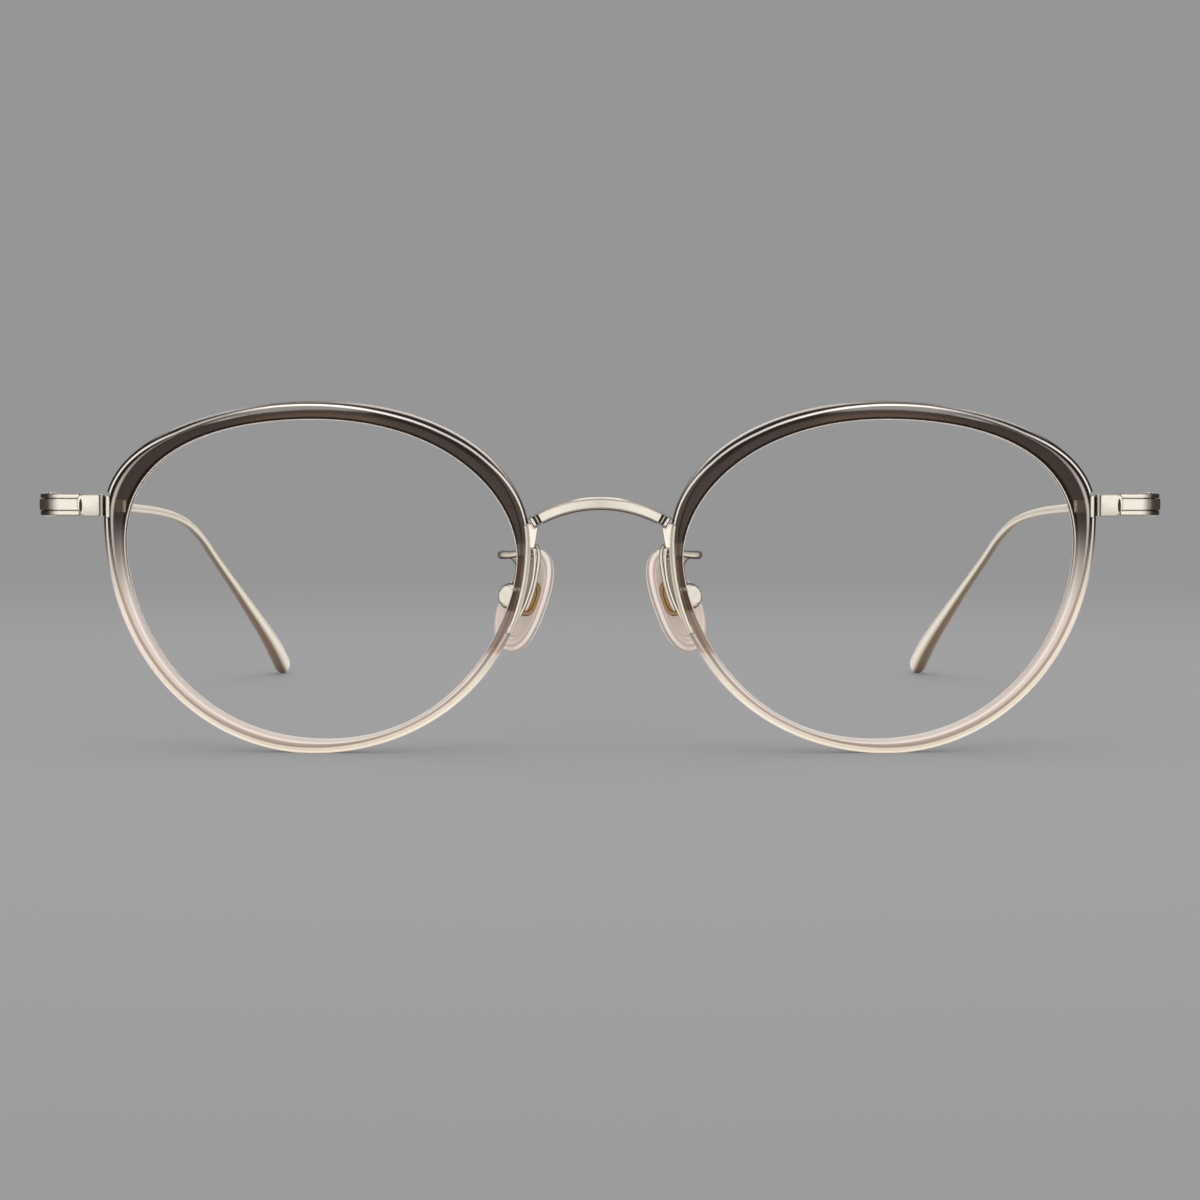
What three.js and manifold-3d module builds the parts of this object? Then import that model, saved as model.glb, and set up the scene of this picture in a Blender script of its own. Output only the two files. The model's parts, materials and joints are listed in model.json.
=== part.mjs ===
// Round eyeglasses: two moulded plastic rims held together by metal fittings.
// Millimetres. X to the viewer's right, Y from the front to the wearer, Z up from the table.
// The left half is drawn and the right half is its mirror image.
import * as THREE from 'three';
import { mergeVertices } from 'three/addons/utils/BufferGeometryUtils.js';
import Module from 'manifold-3d';

const wasm = await Module();
wasm.setup();

// whole object: the depth that becomes Y = 0
const MIDDLE_DEPTH = 70.63;

// left rim seen from the front: extreme points (x, z) of its two outlines, and the handle lengths
// of the four curves between them, from the nose over the top, the temple and the foot
const CENTRE = [-35.5, 22.5];
const OPENING = {
  nose: [-10.5, 24.7],
  top: [-36.0, 42.0],
  temple: [-59.8, 27.1],
  foot: [-34.8, 2.1],
  handles: [7.8, 16.8, 7.1, 13.5, 10.5, 17.2, 16.7, 7.4],
};
const OUTLINE = {
  nose: [-8.8, 26.5],
  top: [-35.6, 44.4],
  temple: [-62.9, 30.3],
  foot: [-36.4, -0.06],
  handles: [10.2, 15.9, 11.1, 10.5, 19.7, 12.9, 15.7, 15.8],
};
const RIM_STATIONS = 80;
const RIM_DEPTH = 3.0;
// rim section: how far its corners stand inside the outline, outside the opening, and behind the face
const RIM_SHOULDER = { face: 0.85, corner: 0.3, cornerDeep: 0.2, wallDeep: 0.75 };
const RIM_BACK = { in: 0.45, deep: 0.55 };
const RIM_LIP = { wide: 0.3, front: 0.3, back: 0.25 };
// the front is dished: a paraboloid of this radius with its lowest point here
const DISH_RADIUS = 130;
const DISH_LOW = [-25.8, 22];

// lens: bevelled edge in the groove at mid depth of the rim
const GROOVE_DEPTH = 0.5;
const GROOVE_HALF = 0.75;
const LENS_HALF = 0.65;
const LENS_BEVEL = 0.35;
const LENS_INSET = 0.1;
const LENS_SHARES = [0.3, 0.6, 0.85];

// bridge: arch of flat bar with two grooves near each end
const BRIDGE_RADIUS = 16.2;
const BRIDGE_TOP = 31.6;
const BRIDGE_HALF_ANGLE = THREE.MathUtils.degToRad(32.3);
const BRIDGE_HEIGHT = 1.48;
const BRIDGE_THICK = 1.5;
const BRIDGE_CHAMFER = 0.25;
const BRIDGE_MIDDLE_Y = 1.3;
const BRIDGE_END_Y = 2.05;
const BRIDGE_GROOVES = [[0.05, 0.2], [0.43, 0.88]];
const GROOVE_INSET = 0.2;
const GROOVE_WALL = 0.02;
const BRIDGE_STEPS = 14;

// nose bracket: strip in the nasal edge of the rim, by angle about the rim's centre
const STRIP_FROM = THREE.MathUtils.degToRad(-16.7);
const STRIP_TO = THREE.MathUtils.degToRad(13.4);
const STRIP_WIDE = 0.75;
const SEAT_GAP = 0.06;
const FLANGE_Y = [2.4, 3.2];
const WEB_Y = [1.75, 3.0];
const FLANGE = [
  [-9.2, 26.3], [-8.45, 26.3], [-7.98, 25.8], [-7.9, 24.3], [-8.13, 22.1], [-8.5, 20.6], [-9.25, 18.6],
  [-10.3, 16.7], [-11.2, 15.45], [-11.6, 15.9], [-10.6, 18.4], [-9.5, 22.0],
];
const WEB = [[-9.2, 28.25], [-8.3, 28.3], [-7.85, 28.5], [-8.1, 26.5], [-8.3, 25.6], [-9.2, 25.6]];
const PIN_RADIUS = 0.3;
const PIN_LONG = 0.6;
const PIN_ANGLES = [-2.8, -9.8].map(THREE.MathUtils.degToRad);
const PIN_DEPTH = 2.6;
const PIN_HOLE_SPARE = 0.3;

// pad arm: round wire along this line, from its foot on the flange to the pad box
const WIRE_RADIUS = 0.42;
const WIRE_POINT = 0.55;
const WIRE_STEPS = 40;
const PAD_ARM_LINE = [
  [-9.6, 3.7, 17.9],
  [-8.75, 3.7, 20.3],
  [-8.15, 3.7, 23.2],
  [-7.95, 3.75, 25.2],
  [-8.15, 4.2, 26.1],
  [-8.85, 5.0, 26.0],
  [-9.8, 5.7, 25.3],
  [-11.2, 6.3, 24.9],
  [-12.4, 7.0, 24.8],
  [-12.35, 8.0, 24.8],
  [-11.2, 8.6, 24.6],
  [-10.4, 8.2, 23.6],
  [-10.4, 7.6, 22.5],
  [-10.81, 7.5, 21.3],
];

// pad box, core and pad: drawn about the pad screw, long side up and face towards the nose
const PAD_SCREW = [-11.4, 7.5, 19.6];
const PAD_LEAN = THREE.MathUtils.degToRad(19);
const PAD_TURN = THREE.MathUtils.degToRad(45);
const BOX_DOME = [[0.75, -1.5], [1.3, -1.1], [1.62, -0.45], [1.72, 0.1], [1.72, 0.75]];
const BOX_MOUTH = 0.75;
const SLOT = { wide: 1.0, tall: 2.6, deep: 1.1 };
const SCREW_RADIUS = 0.36;
const SCREW_HEAD = 0.6;
const SCREW_ENDS = [-1.6, 1.78];
const SCREW_SEAT = 1.2;
const BORE_GAP = 0.06;
const TAB = { thick: 0.8, radius: 0.95, wide: 1.5 };
const CORE = { long: 4.8, wide: 5.4, up: 0.5, back: 1.95, front: 2.5 };
const PAD = { long: 13.6, wide: 7.9, power: 2.35, back: 1.8, deep: 1.95 };
const PAD_PROFILE = [[0.45, 0], [0.88, 0], [0.97, 0.25], [1, 0.75], [0.95, 1.25], [0.78, 1.65], [0.45, 1.88]];
const POCKET_GAP = 0.1;

// end lug, endpiece and hinge: one height, three bands
const END_Z = [29.9, 32.65];
const BANDS_Z = [30.53, 32.05];
const BAND_LINE = 0.1;
const LUG_X = [-62.55, -62.05];
const LUG_Y = [5.5, 8.0];
const LUG_DROP = 0.25;
const NECK = [[-63.0, -62.45], [6.4, 7.6], [30.5, 31.9]];
const TANG_X = -60.45;
const TANG_Y = [6.4, 7.1];
const TANG_Z = [30.2, 31.85];
const BLOCK_X = [-65.6, -63.05];
const BLOCK_Y = [6.05, 8.3];
const BLOCK_DROP = 0.1;
const BAR_FRONT = 6.2;
const SCOOP = { at: [-65.75, 6.2, 31.29], half: [0.24, 0.4, 0.62] };
const HINGE = [-69.9, 7.5];
const BARREL_RADIUS = 1.3;
const HINGE_GAP = 0.12;
const KNUCKLE_GAP = 0.04;
const HINGE_SCREW = 0.46;
const HINGE_HEAD = 0.72;
const HEAD_HIGH = 0.16;
const HEAD_EDGE = 0.13;

// temple: wire along this line, flat bar at the hinge and paddle at the ear
const TEMPLE_LINE = [
  [-70.61, 9.1, 31.28],
  [-70.1, 16, 31.1],
  [-68.65, 35, 30.4],
  [-66.7, 61, 29.4],
  [-65.35, 78, 28.45],
  [-64.3, 89, 27.4],
  [-63.15, 97, 25.95],
  [-61.8, 103.5, 23.6],
  [-60.45, 109.7, 20.3],
  [-57.2, 122.3, 13.0],
  [-52.75, 140.5, 0.6],
];
const TEMPLE_BAR = { height: 2.75, thick: 1.18, until: 0.06 };
const TEMPLE_WIRE = { width: 1.2, from: 0.24, until: 0.76 };
const TEMPLE_TIP = { height: 2.75, thick: 1.9, full: 0.98, round: 1.4 };

// finish of each kind of material
const PLASTIC = { color: 0x8a7468, roughness: 0.22, metalness: 0.0 };
const METAL = { color: 0xdccbb0, roughness: 0.3, metalness: 0.9 };
const GOLD = { color: 0xb98a4a, roughness: 0.35, metalness: 0.7 };
const CLEAR = { color: 0xf4f5f4, roughness: 0.03, metalness: 0.0 };
const SILICONE = { color: 0xe2d3cd, roughness: 0.35, metalness: 0.0 };

const vec = (x, y, z) => new THREE.Vector3(x, y, z);
const smooth = (line) => new THREE.CatmullRomCurve3(line.map((p) => vec(...p)), false, 'centripetal');

// closed body from points and triangles, turned to face outwards
function body(points, faces) {
  const normal = vec(0, 0, 0);
  let volume = 0;
  for (const [a, b, c] of faces) {
    volume += points[a].dot(normal.crossVectors(points[b], points[c]));
  }
  const outward = volume < 0 ? faces.map(([a, b, c]) => [a, c, b]) : faces;
  const geometry = new THREE.BufferGeometry().setFromPoints(points);
  geometry.setIndex(outward.flat());
  return geometry;
}

// surface over rings of points; a ring of one point is a pole, open ends are capped
function skin(rings, closed = false) {
  const first = [];
  let count = 0;
  for (const ring of rings) {
    first.push(count);
    count += ring.length;
  }
  const faces = [];
  const spans = closed ? rings.length : rings.length - 1;
  for (let i = 0; i < spans; i += 1) {
    const j = (i + 1) % rings.length;
    const sides = Math.max(rings[i].length, rings[j].length);
    for (let k = 0; k < sides; k += 1) {
      const a = first[i] + k % rings[i].length;
      const b = first[i] + (k + 1) % rings[i].length;
      const c = first[j] + (k + 1) % rings[j].length;
      const d = first[j] + k % rings[j].length;
      if (a !== b) faces.push([a, b, c]);
      if (c !== d) faces.push([a, c, d]);
    }
  }
  const last = rings.length - 1;
  for (let k = 1; !closed && k < rings[0].length - 1; k += 1) {
    faces.push([first[0], first[0] + k + 1, first[0] + k]);
  }
  for (let k = 1; !closed && k < rings[last].length - 1; k += 1) {
    faces.push([first[last], first[last] + k, first[last] + k + 1]);
  }
  return body(rings.flat(), faces);
}

// points of a circle about the third axis of a frame
function circle(radius, height, sides, frame) {
  const ring = [];
  for (let k = 0; k < sides; k += 1) {
    const angle = (k + 0.5) / sides * 2 * Math.PI;
    ring.push(vec(radius * Math.cos(angle), radius * Math.sin(angle), height).applyMatrix4(frame));
  }
  return ring;
}

// turned body: radius and height pairs, the ends closed flat
const turned = (profile, sides, frame) => skin(profile.map(([r, h]) => circle(r, h, sides, frame)));

// upright cylinder at (x, y) between two heights
function post([x, y], radius, low, high, sides) {
  const frame = new THREE.Matrix4().makeTranslation(x, y, 0);
  return turned([[radius, low], [radius, high]], sides, frame);
}

// box between two limits on each axis, then moved by a frame
function box([x0, x1], [y0, y1], [z0, z1], frame = new THREE.Matrix4()) {
  const geometry = new THREE.BoxGeometry(x1 - x0, y1 - y0, z1 - z0);
  geometry.translate((x0 + x1) / 2, (y0 + y1) / 2, (z0 + z1) / 2);
  return geometry.applyMatrix4(frame);
}

// flat plate: outline (x, z) between two depths
function plate(outline, [front, back]) {
  const shape = new THREE.Shape(outline.map(([x, z]) => new THREE.Vector2(x, z)));
  const geometry = new THREE.ExtrudeGeometry(shape, { depth: back - front, bevelEnabled: false });
  return geometry.rotateX(Math.PI / 2).translate(0, back, 0);
}

// solid for adding and cutting, and back again
function solid(geometry) {
  const bare = new THREE.BufferGeometry();
  bare.setAttribute('position', geometry.attributes.position.clone());
  bare.setIndex(geometry.index);
  const merged = mergeVertices(bare, 1e-4);
  const mesh = new wasm.Mesh({
    numProp: 3,
    vertProperties: new Float32Array(merged.attributes.position.array),
    triVerts: new Uint32Array(merged.index.array),
  });
  return new wasm.Manifold(mesh);
}

function shell(manifold) {
  const mesh = manifold.getMesh();
  const geometry = new THREE.BufferGeometry();
  geometry.setAttribute('position', new THREE.BufferAttribute(mesh.vertProperties, mesh.numProp));
  geometry.setIndex(new THREE.BufferAttribute(mesh.triVerts, 1));
  return geometry;
}

const join = (...pieces) => pieces.map(solid).reduce((all, piece) => all.add(piece));
const cut = (whole, ...tools) => tools.map(solid).reduce((left, tool) => left.subtract(tool), whole);

// outline through the four extreme points
function outline({ nose, top, temple, foot, handles }) {
  const [a, b, c, d, e, f, g, h] = handles;
  const path = new THREE.Path();
  path.moveTo(nose[0], nose[1]);
  path.bezierCurveTo(nose[0], nose[1] + a, top[0] + b, top[1], top[0], top[1]);
  path.bezierCurveTo(top[0] - c, top[1], temple[0], temple[1] + d, temple[0], temple[1]);
  path.bezierCurveTo(temple[0], temple[1] - e, foot[0] - f, foot[1], foot[0], foot[1]);
  path.bezierCurveTo(foot[0] + g, foot[1], nose[0], nose[1] - h, nose[0], nose[1]);
  return path.getPoints(80);
}

// distance from the rim's centre to an outline along a direction
function reach(points, angle) {
  const [cx, cz] = CENTRE;
  const dx = Math.cos(angle);
  const dz = Math.sin(angle);
  const along = (p) => dx * (p.x - cx) + dz * (p.y - cz);
  const across = (p) => dx * (p.y - cz) - dz * (p.x - cx);
  for (let i = 0; i < points.length - 1; i += 1) {
    const [p, q] = [points[i], points[i + 1]];
    if (across(p) <= 0 && across(q) > 0 && along(p) > 0) {
      return THREE.MathUtils.lerp(along(p), along(q), across(p) / (across(p) - across(q)));
    }
  }
  return along(points[0]);
}

const openingPoints = outline(OPENING);
const outlinePoints = outline(OUTLINE);
const inner = (angle) => reach(openingPoints, angle);
const outer = (angle) => reach(outlinePoints, angle);
const dish = (x, z) => ((x - DISH_LOW[0]) ** 2 + (z - DISH_LOW[1]) ** 2) / (2 * DISH_RADIUS);

// point of the left front at a direction and a distance from the rim's centre; the foot is flat
function frontPoint(angle, radius, depth) {
  const x = CENTRE[0] + radius * Math.cos(angle);
  const z = Math.max(CENTRE[1] + radius * Math.sin(angle), 0);
  return vec(x, dish(x, z) + depth, z);
}

function spread(from, to, steps) {
  return Array.from({ length: steps + 1 }, (_, i) => from + (to - from) * i / steps);
}

// rim section: flat face, rounded outer bevel, small inner bevels and the lens groove
function rimSection(angle) {
  const [i, o, half] = [inner(angle), outer(angle), RIM_DEPTH / 2];
  const section = [
    [i + RIM_LIP.wide, 0],
    [o - RIM_SHOULDER.face, 0],
    [o - RIM_SHOULDER.corner, RIM_SHOULDER.cornerDeep],
    [o, RIM_SHOULDER.wallDeep],
    [o, RIM_DEPTH - RIM_BACK.deep],
    [o - RIM_BACK.in, RIM_DEPTH],
    [i + RIM_LIP.wide, RIM_DEPTH],
    [i, RIM_DEPTH - RIM_LIP.back],
    [i, half + GROOVE_HALF],
    [i + GROOVE_DEPTH, half],
    [i, half - GROOVE_HALF],
    [i, RIM_LIP.front],
  ];
  return section.map(([radius, depth]) => frontPoint(angle, radius, depth));
}

// slice of the rim's outer edge between two directions, used as a cutting tool
function edgeBand(from, to, wide) {
  const rings = spread(from, to, 10).map((angle) => {
    const [near, far] = [outer(angle) - wide, outer(angle) + 1];
    const corners = [[near, -1], [far, -1], [far, RIM_DEPTH + 1], [near, RIM_DEPTH + 1]];
    return corners.map(([radius, depth]) => frontPoint(angle, radius, depth));
  });
  return skin(rings);
}

// round pin lying along a direction of the rim
function edgePin(angle, far, long, radius) {
  const from = frontPoint(angle, far, 0);
  const line = vec(Math.cos(angle), 0, Math.sin(angle));
  const up = vec(-Math.sin(angle), 0, Math.cos(angle));
  const frame = new THREE.Matrix4().makeBasis(up, vec(0, 0, 0).crossVectors(line, up), line);
  frame.setPosition(from.x, from.y + PIN_DEPTH, from.z);
  return turned([[radius, -long], [radius, 0]], 10, frame);
}

const rimAngles = spread(0, 2 * Math.PI, RIM_STATIONS).slice(0, RIM_STATIONS);
const plainRim = solid(skin(rimAngles.map(rimSection), true));
const pinFar = (angle) => outer(angle) - STRIP_WIDE - SEAT_GAP;
const bracketPin = (angle) => edgePin(angle, pinFar(angle), PIN_LONG, PIN_RADIUS);
const holeLong = PIN_LONG + PIN_HOLE_SPARE + SEAT_GAP;
const holeRadius = PIN_RADIUS + BORE_GAP;
const bracketHole = (angle) => edgePin(angle, pinFar(angle) + PIN_HOLE_SPARE, holeLong, holeRadius);

// room for the tang of the end lug
const TANG = [[LUG_X[0], TANG_X], TANG_Y, TANG_Z];
const grown = (limits) => box(...limits.map(([a, b]) => [a - SEAT_GAP, b + SEAT_GAP]));

function rim() {
  const notchX = [LUG_X[0] - 2, LUG_X[1] + SEAT_GAP];
  const notchY = [0, 12];
  const notchZ = [END_Z[0] - LUG_DROP - SEAT_GAP, END_Z[1] - LUG_DROP + SEAT_GAP];
  const margin = SEAT_GAP / outer(0);
  return shell(cut(
    plainRim,
    edgeBand(STRIP_FROM - margin, STRIP_TO + margin, STRIP_WIDE + SEAT_GAP),
    bracketHole(PIN_ANGLES[0]),
    bracketHole(PIN_ANGLES[1]),
    box(notchX, notchY, notchZ),
    grown(TANG),
  ));
}

// lens of even thickness that follows the dished front, with a bevel all round
function lens() {
  const angles = rimAngles.filter((_, i) => i % 2 === 0);
  const middle = RIM_DEPTH / 2;
  const pole = (depth) => [frontPoint(0, 0, depth)];
  const ring = (share, depth) => angles.map((a) => frontPoint(a, inner(a) * share, depth));
  const edge = (inset, depth) => angles.map((a) => frontPoint(a, inner(a) - inset, depth));
  const front = middle - LENS_HALF;
  const back = middle + LENS_HALF;
  return skin([
    pole(front),
    ...LENS_SHARES.map((share) => ring(share, front)),
    edge(LENS_INSET, front),
    edge(-LENS_BEVEL, middle),
    edge(LENS_INSET, back),
    ...LENS_SHARES.toReversed().map((share) => ring(share, back)),
    pole(back),
  ]);
}

function bridgeSection(angle, inset) {
  const share = angle / BRIDGE_HALF_ANGLE;
  const y = THREE.MathUtils.lerp(BRIDGE_MIDDLE_Y, BRIDGE_END_Y, share * share);
  const h = BRIDGE_HEIGHT / 2 - inset;
  const d = BRIDGE_THICK / 2 - inset;
  const [hc, dc] = [h - BRIDGE_CHAMFER, d - BRIDGE_CHAMFER];
  const corners = [[hc, -d], [h, -dc], [h, dc], [hc, d], [-hc, d], [-h, dc], [-h, -dc], [-hc, -d]];
  return corners.map(([rise, depth]) => {
    const radius = BRIDGE_RADIUS + rise;
    return vec(radius * Math.sin(angle), y + depth, BRIDGE_TOP - BRIDGE_RADIUS + radius * Math.cos(angle));
  });
}

function bridge() {
  const half = [[0, 0]];
  for (const [from, to] of BRIDGE_GROOVES) {
    half.push([from, 0], [from + GROOVE_WALL, GROOVE_INSET], [to, GROOVE_INSET], [to + GROOVE_WALL, 0]);
  }
  const end = BRIDGE_RADIUS * BRIDGE_HALF_ANGLE;
  const left = half.map(([distance, inset]) => [(distance - end) / BRIDGE_RADIUS, inset]);
  const right = left.map(([angle, inset]) => [-angle, inset]).reverse();
  const step = 2 * BRIDGE_HALF_ANGLE / (BRIDGE_STEPS + 2);
  const clear = left[left.length - 1][0] + step;
  const middle = spread(clear, -clear, BRIDGE_STEPS).map((angle) => [angle, 0]);
  return skin([...left, ...middle, ...right].map(([angle, inset]) => bridgeSection(angle, inset)));
}

// strip with the rim's own section, flange beside it and web up to the bridge
function noseBracket() {
  const strip = plainRim.intersect(solid(edgeBand(STRIP_FROM, STRIP_TO, STRIP_WIDE)));
  return shell(strip.add(solid(plate(FLANGE, FLANGE_Y))).add(solid(plate(WEB, WEB_Y))));
}

// tube of varying section along a curve; size gives half height, half width and squareness at a share
function tube(curve, shares, sides, size) {
  const rings = shares.map((share) => {
    const centre = curve.getPointAt(share);
    const ahead = curve.getTangentAt(share);
    const side = vec(0, 0, 0).crossVectors(ahead, vec(0, 0, 1)).normalize();
    const up = vec(0, 0, 0).crossVectors(side, ahead);
    const [high, wide, power] = size(share);
    return spread(0, 2 * Math.PI, sides).slice(0, sides).map((turn) => {
      const [c, s] = [Math.cos(turn), Math.sin(turn)];
      const bulge = (Math.abs(c) ** power + Math.abs(s) ** power) ** (-1 / power);
      return centre.clone().addScaledVector(side, wide * bulge * c).addScaledVector(up, high * bulge * s);
    });
  });
  return skin(rings);
}

// wire brazed along the back of the flange, over its top, round behind the lens and down to the pad box
function padArm() {
  const curve = smooth(PAD_ARM_LINE);
  const frames = curve.computeFrenetFrames(WIRE_STEPS, false);
  const rings = spread(0, 1, WIRE_STEPS).map((share, i) => {
    const radius = WIRE_RADIUS * (i === 0 ? WIRE_POINT : 1);
    const frame = new THREE.Matrix4().makeBasis(frames.normals[i], frames.binormals[i], frames.tangents[i]);
    return circle(radius, 0, 8, frame.setPosition(curve.getPointAt(share)));
  });
  return skin(rings);
}

// frame at the pad screw: first axis along the screw, second up the pad, third towards the nose
function padAxes() {
  const up = vec(Math.sin(PAD_LEAN), 0, Math.cos(PAD_LEAN));
  const face = vec(Math.sin(PAD_TURN), Math.cos(PAD_TURN), 0);
  face.addScaledVector(up, -face.dot(up)).normalize();
  const screw = vec(0, 0, 0).crossVectors(up, face);
  return new THREE.Matrix4().makeBasis(screw, up, face).setPosition(...PAD_SCREW);
}

const padFrame = padAxes();
const screwFrame = padFrame.clone().multiply(new THREE.Matrix4().makeRotationY(Math.PI / 2));
const both = (half) => [-half, half];

function padBox() {
  const slot = box(both(SLOT.wide / 2), both(SLOT.tall / 2), [-SLOT.deep, BOX_MOUTH + 1], padFrame);
  const bore = turned(both(2).map((h) => [SCREW_RADIUS + BORE_GAP, h]), 12, screwFrame);
  const seat = turned([SCREW_SEAT, 2].map((h) => [SCREW_HEAD + BORE_GAP, h]), 12, screwFrame);
  return shell(cut(solid(turned(BOX_DOME, 20, padFrame)), slot, bore, seat));
}

function padScrew() {
  const [tip, top] = SCREW_ENDS;
  const under = SCREW_SEAT + BORE_GAP;
  const shank = [tip, under].map((h) => [SCREW_RADIUS, h]);
  const head = [under + BORE_GAP, top].map((h) => [SCREW_HEAD, h]);
  return turned([...shank, ...head], 12, screwFrame);
}

// oval outline about the pad screw at a height above it
function oval(wide, long, power, up, rise, sides) {
  return spread(0, 2 * Math.PI, sides).slice(0, sides).map((turn) => {
    const [c, s] = [Math.cos(turn), Math.sin(turn)];
    const reachOut = (Math.abs(c) ** power + Math.abs(s) ** power) ** (-1 / power);
    return vec(wide / 2 * c * reachOut, up + long / 2 * s * reachOut, rise).applyMatrix4(padFrame);
  });
}

const coreDisc = (gap, back, front) => skin([back, front].map(
  (rise) => oval(CORE.wide + 2 * gap, CORE.long + 2 * gap, 2, CORE.up, rise, 18),
));

// disc in the back of the pad with a tab that hangs on the pad screw
function padCore() {
  const neck = box(both(TAB.thick / 2), both(TAB.wide / 2), [0, CORE.front - 0.2], padFrame);
  const eye = turned([[TAB.radius, -TAB.thick / 2], [TAB.radius, TAB.thick / 2]], 16, screwFrame);
  const bore = turned([[SCREW_RADIUS + BORE_GAP, -1], [SCREW_RADIUS + BORE_GAP, 1]], 12, screwFrame);
  return shell(cut(join(coreDisc(0, CORE.back, CORE.front), neck, eye), bore));
}

// oval pad with rounded edges and a pocket for the core in its back
function nosePad() {
  const ring = ([share, rise]) => oval(PAD.wide * share, PAD.long * share, PAD.power, 0, PAD.back + rise, 22);
  const pole = (rise) => [vec(0, 0, PAD.back + rise).applyMatrix4(padFrame)];
  const whole = skin([pole(0), ...PAD_PROFILE.map(ring), pole(PAD.deep)]);
  return shell(cut(solid(whole), coreDisc(POCKET_GAP, PAD.back - 1, CORE.front + POCKET_GAP)));
}

// plate in the notch of the rim, with a tang into the rim and a neck that reaches the endpiece
function endLug() {
  const wing = box(LUG_X, LUG_Y, END_Z.map((z) => z - LUG_DROP));
  return shell(join(wing, box(...NECK), box(...TANG)));
}

// block, banded bar and the two outer knuckles of the hinge
function endpiece() {
  const [low, high] = END_Z;
  const barBack = HINGE[1] - HINGE_GAP;
  const whole = join(
    box(BLOCK_X, BLOCK_Y, END_Z.map((z) => z - BLOCK_DROP)),
    box([HINGE[0], BLOCK_X[0] + 0.2], [BAR_FRONT, barBack], END_Z),
    post(HINGE, BARREL_RADIUS, low, high, 24),
  );
  const lines = BANDS_Z.map((z) => box(
    [HINGE[0] - 2, BLOCK_X[0]],
    [BAR_FRONT - 1, BAR_FRONT + 0.25],
    [z - BAND_LINE / 2, z + BAND_LINE / 2],
  ));
  const scoop = new THREE.SphereGeometry(1, 12, 8);
  scoop.scale(...SCOOP.half).translate(...SCOOP.at);
  return shell(cut(
    whole,
    ...lines,
    scoop,
    post(HINGE, BARREL_RADIUS + HINGE_GAP, BANDS_Z[0] - KNUCKLE_GAP, BANDS_Z[1] + KNUCKLE_GAP, 24),
    box([HINGE[0] - 3, HINGE[0]], [HINGE[1] - 3, HINGE[1] + 3], BANDS_Z),
    post(HINGE, HINGE_SCREW + BORE_GAP, low - 1, high + 1, 16),
  ));
}

function hingeScrew() {
  const [low, high] = END_Z;
  const frame = new THREE.Matrix4().makeTranslation(HINGE[0], HINGE[1], 0);
  const head = [
    [HINGE_SCREW, 0.01],
    [HINGE_HEAD, 0.02],
    [HINGE_HEAD, HEAD_HIGH - HEAD_EDGE / 2],
    [HINGE_HEAD - HEAD_EDGE, HEAD_HIGH],
  ];
  const foot = head.map(([radius, rise]) => [radius, low - rise]).reverse();
  const top = head.map(([radius, rise]) => [radius, high + rise]);
  return turned([...foot, ...top], 16, frame);
}

// middle knuckle and tongue, then bar, wire and ear paddle in one piece
function temple() {
  const curve = smooth(TEMPLE_LINE);
  const long = curve.getLength();
  const { smoothstep, lerp, clamp } = THREE.MathUtils;
  const size = (share) => {
    const thin = smoothstep(share, TEMPLE_BAR.until, TEMPLE_WIRE.from);
    const tip = clamp((share - TEMPLE_WIRE.until) / (TEMPLE_TIP.full - TEMPLE_WIRE.until), 0, 1);
    const left = (1 - share) * long;
    const nose = left < TEMPLE_TIP.round ? Math.sqrt(1 - (1 - left / TEMPLE_TIP.round) ** 2) : 1;
    const end = Math.max(nose, 0.25);
    const high = lerp(lerp(TEMPLE_BAR.height, TEMPLE_WIRE.width, thin), TEMPLE_TIP.height, tip) / 2;
    const wide = lerp(lerp(TEMPLE_BAR.thick, TEMPLE_WIRE.width, thin), TEMPLE_TIP.thick, tip) / 2;
    return [high * end, wide * end, lerp(8, 2, thin)];
  };
  const tipShare = TEMPLE_TIP.round / long;
  const shares = [
    ...spread(0, TEMPLE_WIRE.from, 8),
    ...spread(TEMPLE_WIRE.from, 0.6, 5).slice(1),
    ...spread(0.6, TEMPLE_WIRE.until, 9).slice(1),
    ...spread(TEMPLE_WIRE.until, 1 - tipShare, 6).slice(1),
    1 - tipShare * 0.6,
    1 - tipShare * 0.25,
    1,
  ];
  const knuckleZ = [BANDS_Z[0] + KNUCKLE_GAP, BANDS_Z[1] - KNUCKLE_GAP];
  const barX = [HINGE[0] - BARREL_RADIUS, HINGE[0] - HINGE_GAP];
  const whole = join(
    tube(curve, shares, 16, size),
    post(HINGE, BARREL_RADIUS, ...knuckleZ, 24),
    box(barX, [HINGE[1], TEMPLE_LINE[0][1] + 0.4], knuckleZ),
  );
  return shell(cut(whole, post(HINGE, HINGE_SCREW + BORE_GAP, 20, 40, 16)));
}

const glasses = new THREE.Group();
const front = new THREE.Group();
front.position.y = -MIDDLE_DEPTH;
glasses.add(front);

function place(group, name, geometry, finish) {
  const mesh = new THREE.Mesh(geometry, new THREE.MeshStandardMaterial(finish));
  mesh.name = name;
  group.add(mesh);
}

place(front, 'bridge', bridge(), METAL);

const sidePieces = [
  ['rim', rim(), PLASTIC],
  ['lens', lens(), CLEAR],
  ['nose_bracket', noseBracket(), METAL],
  ['bracket_pin_upper', bracketPin(PIN_ANGLES[0]), METAL],
  ['bracket_pin_lower', bracketPin(PIN_ANGLES[1]), METAL],
  ['pad_arm', padArm(), METAL],
  ['pad_box', padBox(), METAL],
  ['pad_screw', padScrew(), METAL],
  ['pad_core', padCore(), GOLD],
  ['nose_pad', nosePad(), SILICONE],
  ['end_lug', endLug(), METAL],
  ['endpiece', endpiece(), METAL],
  ['hinge_screw', hingeScrew(), METAL],
  ['temple', temple(), METAL],
];

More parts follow.
